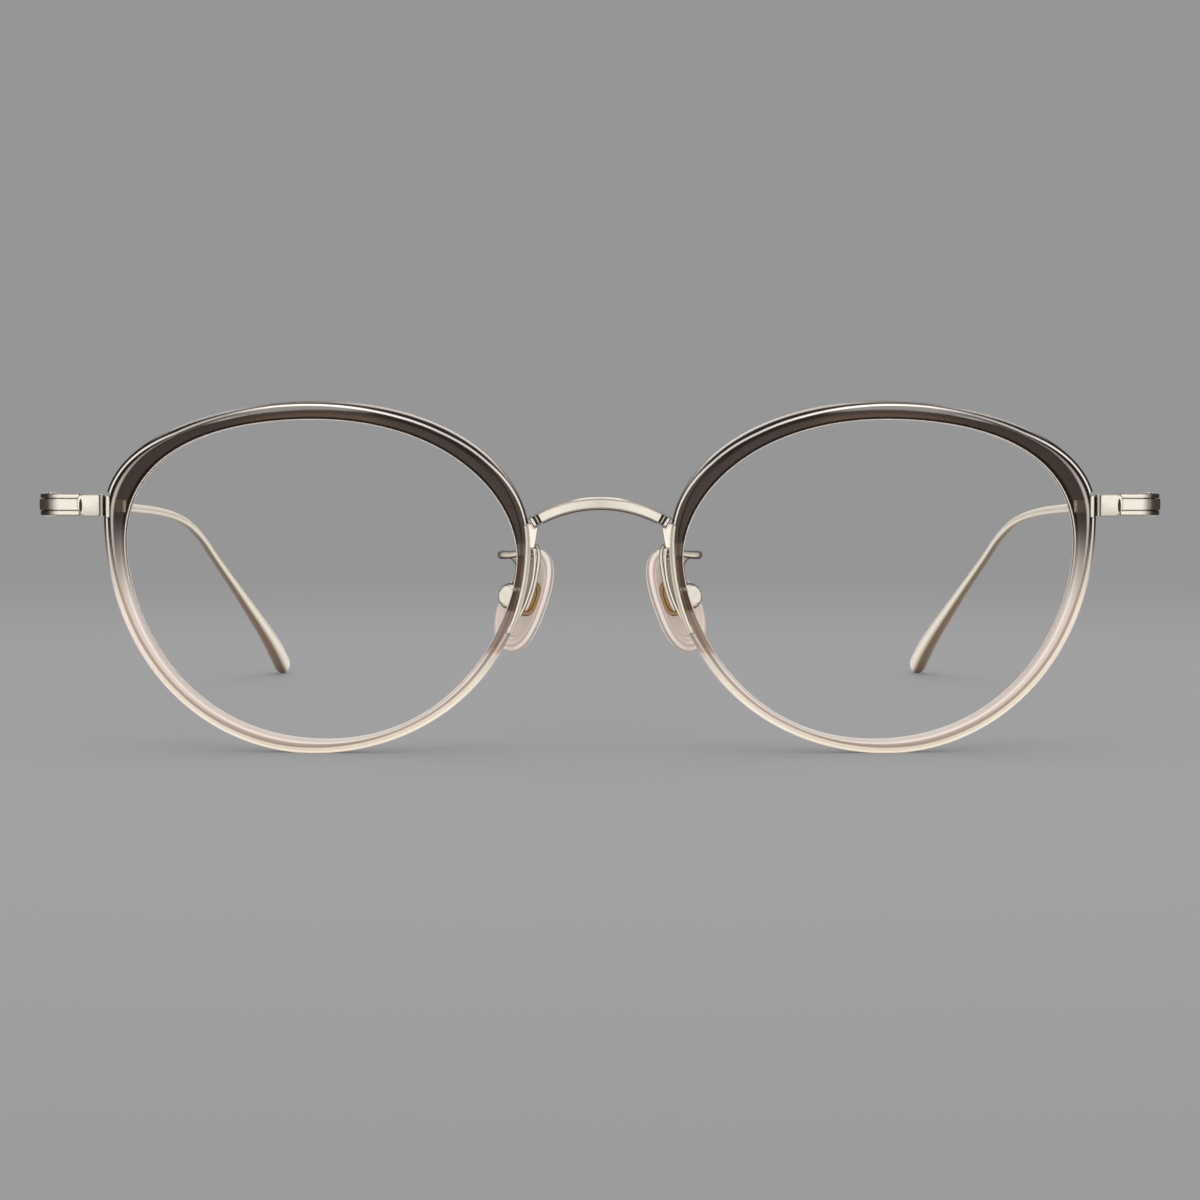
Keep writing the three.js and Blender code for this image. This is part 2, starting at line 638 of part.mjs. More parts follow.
const left = new THREE.Group();
const right = new THREE.Group();
right.scale.x = -1;
front.add(left, right);
for (const [name, geometry, finish] of sidePieces) {
  place(left, `${name}_left`, geometry, finish);
  place(right, `${name}_right`, geometry, finish);
}

export default glasses;
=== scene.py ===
# %% [markdown]
# Round eyeglasses: two moulded plastic rims, dark at the brow and clear at the foot, held together by
# fittings of satin champagne metal. The packed model already has every piece at its real size and
# place, but with flat facets. This lesson gives each piece its true rounded surface and its finish.
# Everything stays in the model's own frame, so nothing has to be fitted afterwards.

# %% Load the packed frame
import json

import bmesh
import bpy
import numpy as np
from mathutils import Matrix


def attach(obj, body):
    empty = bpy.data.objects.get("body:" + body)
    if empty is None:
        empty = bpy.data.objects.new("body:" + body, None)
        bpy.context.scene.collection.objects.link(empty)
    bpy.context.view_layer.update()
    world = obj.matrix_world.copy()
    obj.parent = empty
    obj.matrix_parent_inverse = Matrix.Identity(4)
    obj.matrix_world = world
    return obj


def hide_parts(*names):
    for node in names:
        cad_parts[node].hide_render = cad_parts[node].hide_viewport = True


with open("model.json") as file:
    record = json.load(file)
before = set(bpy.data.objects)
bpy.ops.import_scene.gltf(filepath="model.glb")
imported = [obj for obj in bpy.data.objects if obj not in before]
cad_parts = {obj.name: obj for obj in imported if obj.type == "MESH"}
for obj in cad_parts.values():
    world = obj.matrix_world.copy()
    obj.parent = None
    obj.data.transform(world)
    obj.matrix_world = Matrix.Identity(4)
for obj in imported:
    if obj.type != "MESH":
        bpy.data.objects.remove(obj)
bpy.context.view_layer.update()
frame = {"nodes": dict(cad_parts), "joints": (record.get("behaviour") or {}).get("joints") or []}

JOINTS = {joint["name"]: joint for joint in frame["joints"]}

# %% [markdown]
# The glasses are drawn in millimetres, with depth counted from the middle of the front's face, because
# that is how an optician measures them. The hinge tells where that face lies in the frame. The left half
# is drawn, and the right half is its mirror image.

# %% Units and the front's place
MM = 0.001
HINGE_DEPTH = 7.5
hinge = np.array(JOINTS["temple_left_fold"]["pos_m"]) / MM
FRONT = hinge[1] - HINGE_DEPTH
HINGE = np.array([hinge[0], HINGE_DEPTH])
SIDES = {"left": 1.0, "right": -1.0}
print("front face at y =", round(FRONT, 2), "mm")

# %% [markdown]
# A camera on a long lens stands in front of the glasses, a little above the table, and looks slightly
# down. The distance was chosen so that the ear ends of the temples appear between the rims' centres and
# their edges, as they do when someone looks at the glasses from about 40 centimetres away.

# %% Camera
CAMERA_AWAY = 416.23
CAMERA_HIGH = 41.31
LOOK_DOWN = np.radians(3.0)
camera_data = bpy.data.cameras.new("camera")
camera_data.lens = 100.0
camera_data.sensor_width = 36.0
camera_data.clip_start = 0.01
camera = bpy.data.objects.new("camera", camera_data)
camera.location = (0.0, (FRONT - CAMERA_AWAY) * MM, CAMERA_HIGH * MM)
camera.rotation_euler = (np.pi / 2 - LOOK_DOWN, 0.0, 0.0)
bpy.context.scene.collection.objects.link(camera)
bpy.context.scene.camera = camera
print("camera at", [round(v, 4) for v in camera.location])

# %% [markdown]
# Finishes are node trees. Writing them as Python sums keeps them short: a Signal wraps one socket, and
# adding or multiplying Signals adds Math nodes. A plain number may stand on either side.

# %% Sums of signals
class Signal:
    """One output socket that does sums by adding Math nodes to its tree."""

    def __init__(self, tree, socket):
        self.tree = tree
        self.socket = socket

    def sum_node(self, operation, *values):
        """Math node with one value or two."""
        return self.tree.node("ShaderNodeMath", {"operation": operation}, dict(enumerate(values)))

    def __add__(self, other):
        return self.sum_node("ADD", self, other)

    __radd__ = __add__

    def __sub__(self, other):
        return self.sum_node("SUBTRACT", self, other)

    def __rsub__(self, other):
        return self.sum_node("SUBTRACT", other, self)

    def __mul__(self, other):
        return self.sum_node("MULTIPLY", self, other)

    __rmul__ = __mul__

    def __abs__(self):
        return self.sum_node("ABSOLUTE", self)


print("signals can be added, subtracted and multiplied")

# %% [markdown]
# Every other node comes from Tree.node, which sets the node's settings first and then its sockets, each a
# plain value or a Signal. The other methods are short names for what most finishes use: coordinates, noise,
# smooth steps, colour ramps and mixes.

# %% Node trees
MARK = "mark"


class Tree:
    """The node tree of a material or of the world, emptied and ready for its own nodes."""

    def __init__(self, owner):
        owner.use_nodes = True
        self.owner = owner
        self.nodes = owner.node_tree.nodes
        self.links = owner.node_tree.links
        self.nodes.clear()

    def node(self, kind, settings, sockets, output=0):
        """Adds a node with these settings and socket values or links, and gives one of its outputs."""
        made = self.nodes.new(kind)
        for name, value in settings.items():
            if name == "stops":
                self.set_stops(made.color_ramp, value)
            else:
                setattr(made, name, value)
        for name, value in sockets.items():
            if isinstance(value, Signal):
                self.links.new(value.socket, made.inputs[name])
            else:
                made.inputs[name].default_value = value
        return Signal(self, made.outputs[output]) if made.outputs else made

    def set_stops(self, ramp, stops):
        """Gives a colour ramp its stops, which are pairs of place and colour."""
        while len(ramp.elements) < len(stops):
            ramp.elements.new(1.0)
        for element, (place, colour) in zip(ramp.elements, stops):
            element.position = place
            element.color = colour

    def axis(self, kind, letter):
        """One coordinate of a point's place (Object) or of the direction that its face looks in (Normal)."""
        vector = self.node("ShaderNodeTexCoord", {}, {}, kind)
        return self.node("ShaderNodeSeparateXYZ", {}, {"Vector": vector}, letter)

    def mark(self):
        """The number that each point of the mesh carries."""
        return self.node("ShaderNodeAttribute", {"attribute_name": MARK}, {}, "Fac")

    def noise(self, scale, detail=3.0):
        """Cloudy pattern fixed to the piece, with spots about 1/scale metres wide."""
        place = self.node("ShaderNodeTexCoord", {}, {}, "Object")
        return self.node("ShaderNodeTexNoise", {}, {"Vector": place, "Scale": scale, "Detail": detail})

    def ease(self, value, start, end):
        """Smooth step of a value from 0 at start to 1 at end."""
        settings = {"interpolation_type": "SMOOTHSTEP"}
        return self.node("ShaderNodeMapRange", settings, {0: value, 1: start, 2: end})

    def between(self, value, low, high, share=0.06):
        """1 between two limits and 0 outside them, with smooth steps that take a share of the width each."""
        soft = share * (high - low)
        return self.ease(value, low, low + soft) * self.ease(value, high, high - soft)

    def ramp(self, value, stops, span=1.0):
        """Colour ramp over a value from 0 to 1. Stops are pairs of place, from 0 to span, and colour."""
        placed = [(place / span, colour) for place, colour in stops]
        return self.node("ShaderNodeValToRGB", {"stops": placed}, {"Fac": value})

    def blend(self, factor, first, second):
        """Colour between two colours."""
        settings = {"data_type": "RGBA", "clamp_factor": True}
        return self.node("ShaderNodeMix", settings, {0: factor, 6: first, 7: second}, 2)

    def layered(self, tint, layers):
        """A colour with others laid over it in turn, each a pair of a mask and a screen colour."""
        for mask, colour in layers:
            tint = self.blend(mask, tint, shade(*colour))
        return tint

    def principled(self, sockets):
        """The shader that serves for metal, plastic and silicone."""
        return self.node("ShaderNodeBsdfPrincipled", {}, sockets)

    def even(self, kind, colour, strength=1.0):
        """Even light of one colour: Emission on a surface, Background in the room."""
        return self.node("ShaderNode" + kind, {}, {"Color": colour, "Strength": strength})

    def mix(self, factor, first, second):
        """Two shaders mixed by a factor."""
        return self.node("ShaderNodeMixShader", {}, {0: factor, 1: first, 2: second})

    def done(self, surface, kind="Material"):
        """Ends the tree with its surface and gives the material or world that owns it."""
        self.node("ShaderNodeOutput" + kind, {}, {"Surface": surface})
        return self.owner


print("short names for nodes:", [name for name in vars(Tree) if not name.startswith("_")])

# %% [markdown]
# Colours are written as a screen shows them, because that is how the eye compares them. A shader takes
# linear light, so each is converted by the screen's own curve.

# %% Screen colours
def shade(red, green, blue):
    """Screen colour, from 0 to 255, as the linear colour that a shader takes."""
    screen = np.array([red, green, blue]) / 255.0
    linear = np.where(screen <= 0.04045, screen / 12.92, ((screen + 0.055) / 1.055) ** 2.4)
    return (*linear.tolist(), 1.0)


def grey(level):
    """Grey screen colour as a linear one."""
    return shade(level, level, level)


print("champagne as a linear colour", np.round(shade(228, 208, 176), 3))

# %% [markdown]
# The fittings are titanium with a pale champagne coat. The real surface is satin: almost white where it
# faces the light. Shade is painted into its colour: brown underneath and dark in its grooves. The piece's own
# normal tells which faces look down. On the temples only those that also look outwards get the painted
# brown. A number that each point of the mesh carries, its mark, tells where painted shade darkens a groove,
# a slot or an edge. Two noises break up the reflection.

# %% Metal finishes
MARK_SHADE = (40, 30, 21)
CLOUDS = 260.0
GRAIN = 9000.0
GRAIN_HIGH = 0.00001
LOOKS_DOWN = (0.45, 0.85)
ANY_WAY_OUT = (-3.0, -2.0)


def metal_finish(name, colour, painted_shade, roughness, metallic, down=LOOKS_DOWN, out=ANY_WAY_OUT):
    """Satin metal, pale on top, with painted shade: brown below and dark where marked, and a fine grain. The
    painted shade turns the colour brown between two limits of how far a face looks down, and of how far it
    looks outwards."""
    tree = Tree(bpy.data.materials.new(name))
    half = tree.axis("Object", "X")
    outward = tree.axis("Normal", "X") * half.sum_node("SIGN", half)
    # The mark says where shade is painted dark, and under masks the painted brown shade of lower faces.
    groove = tree.mark()
    cloud = tree.noise(CLOUDS)
    fine = tree.noise(GRAIN, 2.0)
    under = tree.ease(0.1 * (cloud - 0.5) - tree.axis("Normal", "Z"), *down) * tree.ease(outward, *out)
    bump = tree.node("ShaderNodeBump", {}, {"Strength": 0.02, "Distance": GRAIN_HIGH, "Height": fine})
    return tree.done(tree.principled({
        "Base Color": tree.blend(groove, tree.blend(under, shade(*colour), shade(*painted_shade)), shade(*MARK_SHADE)),
        "Metallic": metallic,
        "Roughness": roughness + 0.04 * (cloud - 0.5) + 0.03 * (fine - 0.5) + 0.3 * groove,
        "Normal": bump,
    }))


# Each metal's second colour is the brown of its painted shade.
champagne = metal_finish("polished_champagne", (251, 243, 229), (112, 86, 58), 0.24, 0.7)
satin = metal_finish("satin_champagne", (251, 241, 226), (112, 86, 58), 0.34, 0.5)
wire_metal = metal_finish(
    "satin_wire", (255, 246, 229), (122, 105, 86), 0.3, 0.36, down=(0.05, 0.45), out=(-0.95, -0.38))
screw_metal = metal_finish("polished_screw", (250, 238, 218), (150, 124, 92), 0.16, 0.85)
cup_metal = metal_finish("brushed_cup", (255, 247, 235), (150, 130, 106), 0.36, 0.25)
gold = metal_finish("brown_gold", (228, 182, 126), (96, 60, 24), 0.32, 0.5)
print("metals", [m.name for m in (champagne, satin, wire_metal, screw_metal, cup_metal, gold)])

# %% [markdown]
# The rims are cast from plastic that is dark brown at the brow and clear champagne at the foot. Its colours
# follow a few measures of a point: how far round the section it lies, how high, how far from the middle of
# the glasses, and how far its face looks up. The point's mark is the first of these, counted in corners of
# the section, with the whole round as 1. The rim's tree keeps the measures at hand.

# %% Measures on the rim
RIM_CORNERS = 12
RIM_REACH = 70.0
RIM_CLOUDS = 90.0
NASAL = (18.0, 14.0)


class RimTree(Tree):
    """Node tree of the rim's plastic, with the measures that its colours follow."""

    def __init__(self, owner):
        super().__init__(owner)
        self.around = self.mark()
        self.height = self.axis("Object", "Z")
        self.outward = abs(self.axis("Object", "X"))
        self.upward = self.axis("Normal", "Z")
        self.cloud = self.noise(RIM_CLOUDS)
        self.nasal = self.step(self.outward, *NASAL)

    def step(self, length, start, end):
        """Smooth step of a length between two limits in millimetres."""
        return self.ease(length, start * MM, end * MM)

    def round_section(self, stops):
        """Colour that changes round the section, from pairs of corner and screen colour."""
        return self.ramp(self.around, [(corner, shade(*colour)) for corner, colour in stops], RIM_CORNERS)

    def level_round(self, *stops):
        """Number that changes round the section, from pairs of corner and grey level."""
        return self.round_section([(corner, (level, level, level)) for corner, level in stops])

    def zone(self, start, full, until, end):
        """1 between two corners of the section, with a slope down to 0 on either side."""
        return self.level_round((start, 0), (full, 255), (until, 255), (end, 0))

    def along(self, *stops):
        """Number that changes along the rim, from pairs of distance from the middle in mm and number."""
        placed = [(away, (number, number, number, 1.0)) for away, number in stops]
        return self.ramp(self.outward * (1.0 / (RIM_REACH * MM)), placed, RIM_REACH)

    def streak(self, at, wide):
        """Light line at a number of corners round the section."""
        apart = abs(self.around * float(RIM_CORNERS) - at)
        return self.ease(apart, wide, 0.25 * wide)


print("a rim's section has", RIM_CORNERS, "corners")

# %% [markdown]
# The smoky plastic is almost black at the lens's lip and at the outer side, and brown on the face and the
# bevel. Its pale inner wall and these near-black bands are painted light and painted shade round the section.
# Where light gets through it is warmer, and that light is painted too: at the nose, along the outer side, on
# the face under the brow, and round the lug's tang, which shows through it with a painted glint at its end. A
# painted dark line of shade lies inside the bevel, and a painted lighter band on the bevel at the nose. Each
# of these is a colour laid over the first by its own mask.

# %% Smoky plastic
# Tints round the section: painted light on the inner wall, painted shade in the near-black bands.
SMOKE = [
    (0.0, (190, 180, 172)), (2.3, (190, 180, 172)), (2.5, (24, 17, 13)), (3.05, (26, 19, 15)),
    (3.16, (90, 77, 70)), (3.75, (86, 73, 66)), (4.05, (60, 49, 43)), (4.4, (44, 35, 30)),
    (5.0, (44, 35, 30)), (5.15, (20, 14, 11)), (6.1, (30, 22, 19)), (7.0, (84, 70, 62)),
    (9.0, (92, 78, 70)), (11.0, (190, 180, 172)),
]
TANG_X = np.array([59.85, 61.9])
TANG_Z = np.array([30.3, 31.9])
TANG_TIP = (60.45, 60.05)


def smoky_tint(rim):
    """Brown with painted light and shade round the section, with one colour after another laid over it where
    its mask says.
    """
    # Masks of painted light: nose, side, glow, the tang's glint and the nasal bevel. The inset is a painted
    # line of shade.
    nose = 0.6 * rim.nasal * rim.step(rim.height, 28, 25)
    side = rim.zone(5.0, 5.1, 6.9, 7.0) * rim.step(rim.outward, 56, 46)
    glow = rim.level_round((3.0, 0), (3.12, 150), (3.35, 190), (3.6, 0)) * rim.step(rim.height, 34, 38)
    glow = glow * rim.step(rim.outward, 48, 40) * rim.step(rim.outward, 24, 30)
    tang = rim.between(rim.outward, *(TANG_X * MM)) * rim.between(rim.height, *(TANG_Z * MM))
    inset = rim.zone(3.64, 3.76, 3.98, 4.08) * rim.along((13, 0), (16, 1), (26, 1), (31, 0.4), (35, 0))
    bevel = rim.zone(4.1, 4.25, 4.8, 4.95) * rim.along((12.5, 0.7), (15, 0))
    return rim.layered(rim.round_section(SMOKE), [
        (nose, (114, 88, 70)),
        (side, (84, 73, 66)),
        (glow, (146, 112, 86)),
        (0.1 * tang, (132, 114, 100)),
        (tang * rim.step(rim.outward, *TANG_TIP), (180, 160, 140)),
        (0.85 * inset, (12, 8, 7)),
        (bevel, (128, 110, 97)),
    ])


print("smoky plastic in", len(SMOKE), "tints round the section")

# %% [markdown]
# The champagne plastic at the foot is pale, with fine lines where lips and bevels bend the light: white at
# the inner edge of the face and on the bevel, and a brown shade between. The nasal edge is browner, and the
# face is paler towards the temple.

# %% Champagne plastic
CHAMPAGNE = [
    (0.0, (214, 205, 199)), (2.1, (214, 205, 199)), (2.3, (186, 173, 163)), (2.5, (202, 190, 182)),
    (2.9, (210, 198, 189)), (3.04, (226, 213, 204)), (3.2, (255, 246, 240)), (3.4, (226, 212, 204)),
    (3.63, (190, 175, 166)), (3.85, (176, 160, 150)), (4.28, (172, 156, 142)), (4.43, (206, 190, 171)),
    (4.56, (255, 241, 222)), (4.76, (236, 220, 200)), (4.95, (255, 246, 231)), (5.6, (255, 248, 238)),
    (6.0, (214, 198, 178)), (7.0, (232, 219, 205)), (9.0, (216, 202, 192)), (11.0, (224, 215, 208)),
]
BROWN_Z = np.array([12.5, 20.5])


def champagne_tint(rim):
    """Pale colours round the section, browner at the nose and paler on the face near the temple."""
    brown = rim.nasal * rim.between(rim.height, *(BROWN_Z * MM))
    face = rim.zone(3.12, 3.3, 3.76, 3.9) * rim.along((46, 0), (53, 1))
    return rim.layered(rim.round_section(CHAMPAGNE), [
        (0.6 * brown, (168, 136, 112)),
        (0.8 * face, (224, 210, 197)),
    ])


print("champagne plastic in", len(CHAMPAGNE), "tints round the section")

# %% [markdown]
# Light runs inside such plastic and leaves it at the edges, and the bevels mirror the lamps, so fine painted
# highlights follow the rim. One is the lip at the lens. The main one wanders over the bevel, one lies on the
# outer edge, and a short one on the ridge near the temple. The brow has a soft painted highlight where it
# looks up. Their place and strength change with the distance from the middle, so each is a row of pairs of
# distance and number.

# %% Painted highlights
MAIN_PLACE = [
    (10, 0.95), (14, 0.4), (19.7, 0.22), (25.7, 0.3), (29.6, 0.42), (35, 0.64), (41, 0.77), (46, 0.68),
    (53.5, 0.35), (57, 0.6), (59.5, 0.72),
]
MAIN_STRENGTH = [
    (10, 0.95), (14, 0.6), (19.7, 0.62), (25.7, 0.9), (41, 1.0), (44, 0.6), (47, 0.3), (53.5, 0.55),
    (57, 0.85), (59.5, 0.95),
]
EDGE_STRENGTH = [
    (10, 0), (14, 0.65), (19.7, 0.65), (29.6, 0.5), (35, 0.15), (41, 0.1), (47, 0.4), (53.5, 0.4), (57, 0.0),
]
RIDGE_STRENGTH = [(44, 0), (47, 0.3), (50, 0.0), (56, 0.15), (59.5, 0.3), (62, 0.5)]
BROW_STRENGTH = [(28, 0), (32, 1), (42, 1), (46, 0.6), (53, 0.0)]


def painted_highlights(rim):
    """How strongly the painted highlights show: the sum of the lip, three streaks and the brow's band."""
    lip = rim.level_round((0.0, 226), (2.25, 226), (2.42, 0), (10.0, 0), (10.4, 226))
    main = rim.streak(1.25 * rim.along(*MAIN_PLACE) + 4.0, 0.3) * rim.along(*MAIN_STRENGTH)
    edge = rim.streak(5.65, 0.5) * rim.along(*EDGE_STRENGTH)
    ridge = rim.streak(4.04 - 0.12 * rim.along((57, 0), (61, 1)), 0.16) * rim.along(*RIDGE_STRENGTH)
    band = rim.zone(3.7, 3.82, 4.7, 4.9) * rim.ease(rim.upward, 0.12, 0.32)
    return lip + main + edge + ridge + 0.24 * band * rim.along(*BROW_STRENGTH)


print("light lines from", MAIN_PLACE[0][0], "to", RIDGE_STRENGTH[-1][0], "mm from the middle")

# %% [markdown]
# Height blends the smoky plastic into the champagne one, a little later at the nose than at the temple. The
# nasal edge has steps of its own, where the metal strip behind it is seen through the plastic. Painted
# highlights lie over both and fade in the clear part, whose underside has a faint painted glow for the light
# it gathers from the table.

# %% Rim plastic
DARK_ABOVE = 23.0
CLEAR_BELOW = 10.0
NOSE_DELAY = 0.115
NOSE_SPAN = 50.0
NOSE_STEPS = [
    (9.0, 255), (13.3, 215), (13.6, 184), (17.8, 172), (18.3, 60), (20.5, 44), (20.7, 150), (20.9, 150),
    (21.1, 50), (24.6, 44), (24.7, 0), (24.95, 0), (25.1, 92), (26.4, 84), (26.7, 0),
]


def clearness(rim):
    """0 in smoky plastic and 1 in champagne: a smooth step of the height, less a share of the distance from
    the middle, and at the nose the levels of the steps."""
    level = rim.height - NOSE_DELAY * rim.outward + 0.002 * (rim.cloud - 0.5)
    clear = rim.step(level, DARK_ABOVE, CLEAR_BELOW)
    stops = [(high, grey(tone)) for high, tone in NOSE_STEPS]
    steps = rim.ramp(rim.height * (1.0 / (NOSE_SPAN * MM)), stops, NOSE_SPAN)
    return clear + rim.nasal * (steps - clear)


def rim_finish():
    """Smoky and champagne plastic mixed by clearness, with the painted highlights over them and a faint
    painted glow on the clear plastic's underside.
    """
    rim = RimTree(bpy.data.materials.new("gradient_plastic"))
    clear = clearness(rim)
    smooth = {"Roughness": 0.07 + 0.03 * rim.cloud, "Specular IOR Level": 0.12}
    smoky = rim.principled({
        "Base Color": smoky_tint(rim),
        "Transmission Weight": 0.7,
        "IOR": 1.25,
        **smooth,
    })
    # Painted glow: the clear plastic's lower outer bevel gives off a little light where it faces down.
    under = rim.zone(5.0, 5.25, 6.1, 6.5) * rim.ease(rim.upward, -0.35, -0.8)
    pale = rim.principled({
        "Base Color": champagne_tint(rim),
        "Emission Color": rim.blend(under, grey(0), shade(255, 240, 220)),
        "Emission Strength": 0.3,
        "Transmission Weight": 0.2,
        "IOR": 1.5,
        **smooth,
    })
    # A pale matt shader that paints the highlights.
    light = rim.principled({
        "Base Color": rim.blend(rim.cloud, shade(240, 230, 221), shade(250, 243, 236)),
        "Roughness": 0.2,
    })
    lines = painted_highlights(rim) * (1.0 - 0.8 * clear)
    return rim.done(rim.mix(0.9 * lines, rim.mix(clear, smoky, pale), light))


gradient_plastic = rim_finish()
print("rim plastic turns from dark to clear between", DARK_ABOVE, "and", CLEAR_BELOW, "mm")

# %% [markdown]
# A coated lens hardly shows from the front and only mirrors the room at a slant. So its surface is a clear
# mirror whose cover grows with the slant, as the gleam on a coated surface does. The nose pads are soft
# silicone, milky pink and half see-through, so light is both scattered and passed on. They look paler and
# pinker towards their rounded edge, where light leaves them, in a few soft lines that follow it.

# %% Lens and silicone
COATED_IOR = 1.1
FACE_ON = 0.0023
SILICONE = [
    (0.0, (238, 223, 213)), (0.62, (236, 221, 211)), (0.68, (216, 198, 187)), (0.74, (253, 238, 229)),
    (0.8, (228, 209, 199)), (0.85, (253, 239, 231)), (0.91, (214, 192, 180)), (0.95, (255, 247, 241)),
    (0.985, (253, 241, 234)), (1.0, (176, 162, 152)),
]


def lens_finish():
    """Mirror with the cover that a coated surface has at each slant, less what it has face on."""
    tree = Tree(bpy.data.materials.new("coated_lens"))
    gleam = tree.node("ShaderNodeFresnel", {}, {"IOR": COATED_IOR})
    return tree.done(tree.principled({
        "Base Color": shade(238, 244, 246),
        "Metallic": 1.0,
        "Roughness": 0.03 + 0.02 * tree.noise(40.0),
        "Alpha": 0.6 * (gleam - FACE_ON),
    }))


def pad_finish():
    """Silicone whose colour follows the mark: 0 in the middle of the pad and 1 at its edge."""
    tree = Tree(bpy.data.materials.new("pink_silicone"))
    cloud = tree.noise(120.0)
    stops = [(place, shade(*colour)) for place, colour in SILICONE]
    return tree.done(tree.principled({
        "Base Color": tree.ramp(tree.mark() + 0.02 * (cloud - 0.5), stops),
        "Roughness": 0.25 + 0.1 * cloud,
        "IOR": 1.41,
        "Transmission Weight": 0.25,
    }))


coated_lens = lens_finish()
pink_silicone = pad_finish()
print("clear finishes", coated_lens.name, pink_silicone.name)

# %% [markdown]
# Every piece is a skin over rings of points: a profile carried along a path, or rings that grow from a
# pole. The rings are one whole array, and so are the faces between them. Several closed skins may make one
# piece, as when a soldered joint holds them together.

# %% Skins over rings
def skin(rings, marks=0.0, closed=False):
    """Surface over rings of points (rings, points, 3), as points, faces and marks. Each ring joins the next
    point by point, and the last joins the first if the path is closed. Open ends are closed by one flat face
    each."""
    count, size = rings.shape[:2]
    ring = np.arange(count if closed else count - 1)
    ring, spot = np.meshgrid(ring, np.arange(size), indexing="ij")
    after = (ring + 1) % count
    beside = (spot + 1) % size
    corners = [ring * size + spot, ring * size + beside, after * size + beside, after * size + spot]
    faces = np.stack(corners, -1).reshape(-1, 4).tolist()
    if not closed:
        faces.append(list(range(size)))
        faces.append(list(range((count - 1) * size, count * size)))
    return rings.reshape(-1, 3), faces, np.broadcast_to(marks, (count, size)).ravel()


def together(*shells):
    """Several closed surfaces as one piece."""
    points, faces, start = [], [], 0
    for some, corners, _ in shells:
        points.append(some)
        faces += [[start + spot for spot in face] for face in corners]
        start += len(some)
    return np.concatenate(points), faces, np.concatenate([shell[2] for shell in shells])


def marked(shell, marks):
    """The same surface with other marks: one value, or one for each point."""
    points, faces, _ = shell
    return points, faces, np.broadcast_to(marks, len(points))


print("a skin over 3 rings of 4 points has", len(skin(np.zeros((3, 4, 3)))[1]), "faces")

# %% [markdown]
# No real edge is sharp, and it is the small roundings that catch the light. A rounded outline replaces
# each corner by a short curve. It could be done by a Bevel modifier, but here the curve's points are known,
# so a section can be carried along a path with its roundings already in it.

# %% Rounded outlines
LONGEST_SHARE = 0.38
FLAT_SHARE = 0.25


def corner_shares(corners, radius):
    """The share of the side before and after each corner that its rounding takes, up to a longest one."""
    before = np.linalg.norm(np.roll(corners, 1, axis=-2) - corners, axis=-1)
    after = np.roll(before, -1, axis=-1)
    taken = np.minimum(radius, LONGEST_SHARE * np.minimum(before, after))
    return (taken / before)[..., None], (taken / after)[..., None]


def bows(start, corner, end, steps):
    """Quadratic curve at each corner from start to end, as one run of points, with one more point a quarter
    further out on each side, which keeps the shading of flat sides flat."""
    t = np.linspace(0.0, 1.0, steps + 1)[:, None]
    start, corner, end = start[..., None, :], corner[..., None, :], end[..., None, :]
    curve = (1 - t) ** 2 * start + 2 * t * (1 - t) * corner + t ** 2 * end
    ahead = start + FLAT_SHARE * (start - corner)
    behind = end + FLAT_SHARE * (end - corner)
    curve = np.concatenate([ahead, curve, behind], axis=-2)
    return curve.reshape(*curve.shape[:-3], -1, curve.shape[-1])


def rounded(corners, radius, steps=5):
    """Closed outline (..., corners, 2) with each corner replaced by a quadratic curve that starts and ends
    one radius from it along its two sides, or less on a short side."""
    before, after = corner_shares(corners, radius)
    start = corners + (np.roll(corners, 1, axis=-2) - corners) * before
    end = corners + (np.roll(corners, -1, axis=-2) - corners) * after
    return bows(start, corners, end, steps)


square = np.array([(0.0, 0.0), (1.0, 0.0), (1.0, 1.0), (0.0, 1.0)])
print("a rounded square has", len(rounded(square, 0.1)), "points")

# %% [markdown]
# A finished skin becomes a mesh object at the origin, with its place in its vertices. It rides on the
# body that carries it, stands for the plain solids it replaces, and takes its finish. Normals are
# recalculated, because the mirrored half would otherwise be inside out.

# %% Laying a piece into the frame
CREASE = np.radians(38.0)


def lay(name, shell, finish, body, nodes):
    """One piece from a surface in millimetres, with its finish, its body and the solids it stands for."""
    points, faces, marks = shell
    mesh = bpy.data.meshes.new(name)
    mesh.from_pydata(((points + (0.0, FRONT, 0.0)) * MM).tolist(), [], faces)
    mesh.attributes.new(MARK, "FLOAT", "POINT").data.foreach_set("value", marks.astype(np.float32))
    work = bmesh.new()
    work.from_mesh(mesh)
    bmesh.ops.recalc_face_normals(work, faces=work.faces)
    work.to_mesh(mesh)
    work.free()
    mesh.shade_smooth()
    mesh.set_sharp_from_angle(angle=CREASE)
    mesh.materials.append(finish)
    piece = bpy.data.objects.new(name, mesh)
    bpy.context.scene.collection.objects.link(piece)
    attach(piece, body)
    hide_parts(*nodes)


def lay_pair(stem, shell, finish, body, nodes):
    """The left piece and its mirror image. Body and node names take the side's name."""
    points, faces, marks = shell
    for side, sign in SIDES.items():
        named = [f"{node}_{side}" for node in nodes]
        mirrored = (points * (sign, 1.0, 1.0), faces, marks)
        lay(f"{stem}_{side}", mirrored, finish, body.format(side=side), named)
    print(stem, len(faces), "faces a side")


print("edges bent by more than", round(float(np.degrees(CREASE))), "degrees stay sharp")

# %% [markdown]
# Seen from the front, a rim lies between two outlines: the opening for the lens and the outer edge. Each
# is four smooth curves through its extreme points at nose, top, temple and foot. A direction from the
# rim's centre then gives one distance to each outline. The front is dished like a shallow bowl, so depth is
# added to a paraboloid.

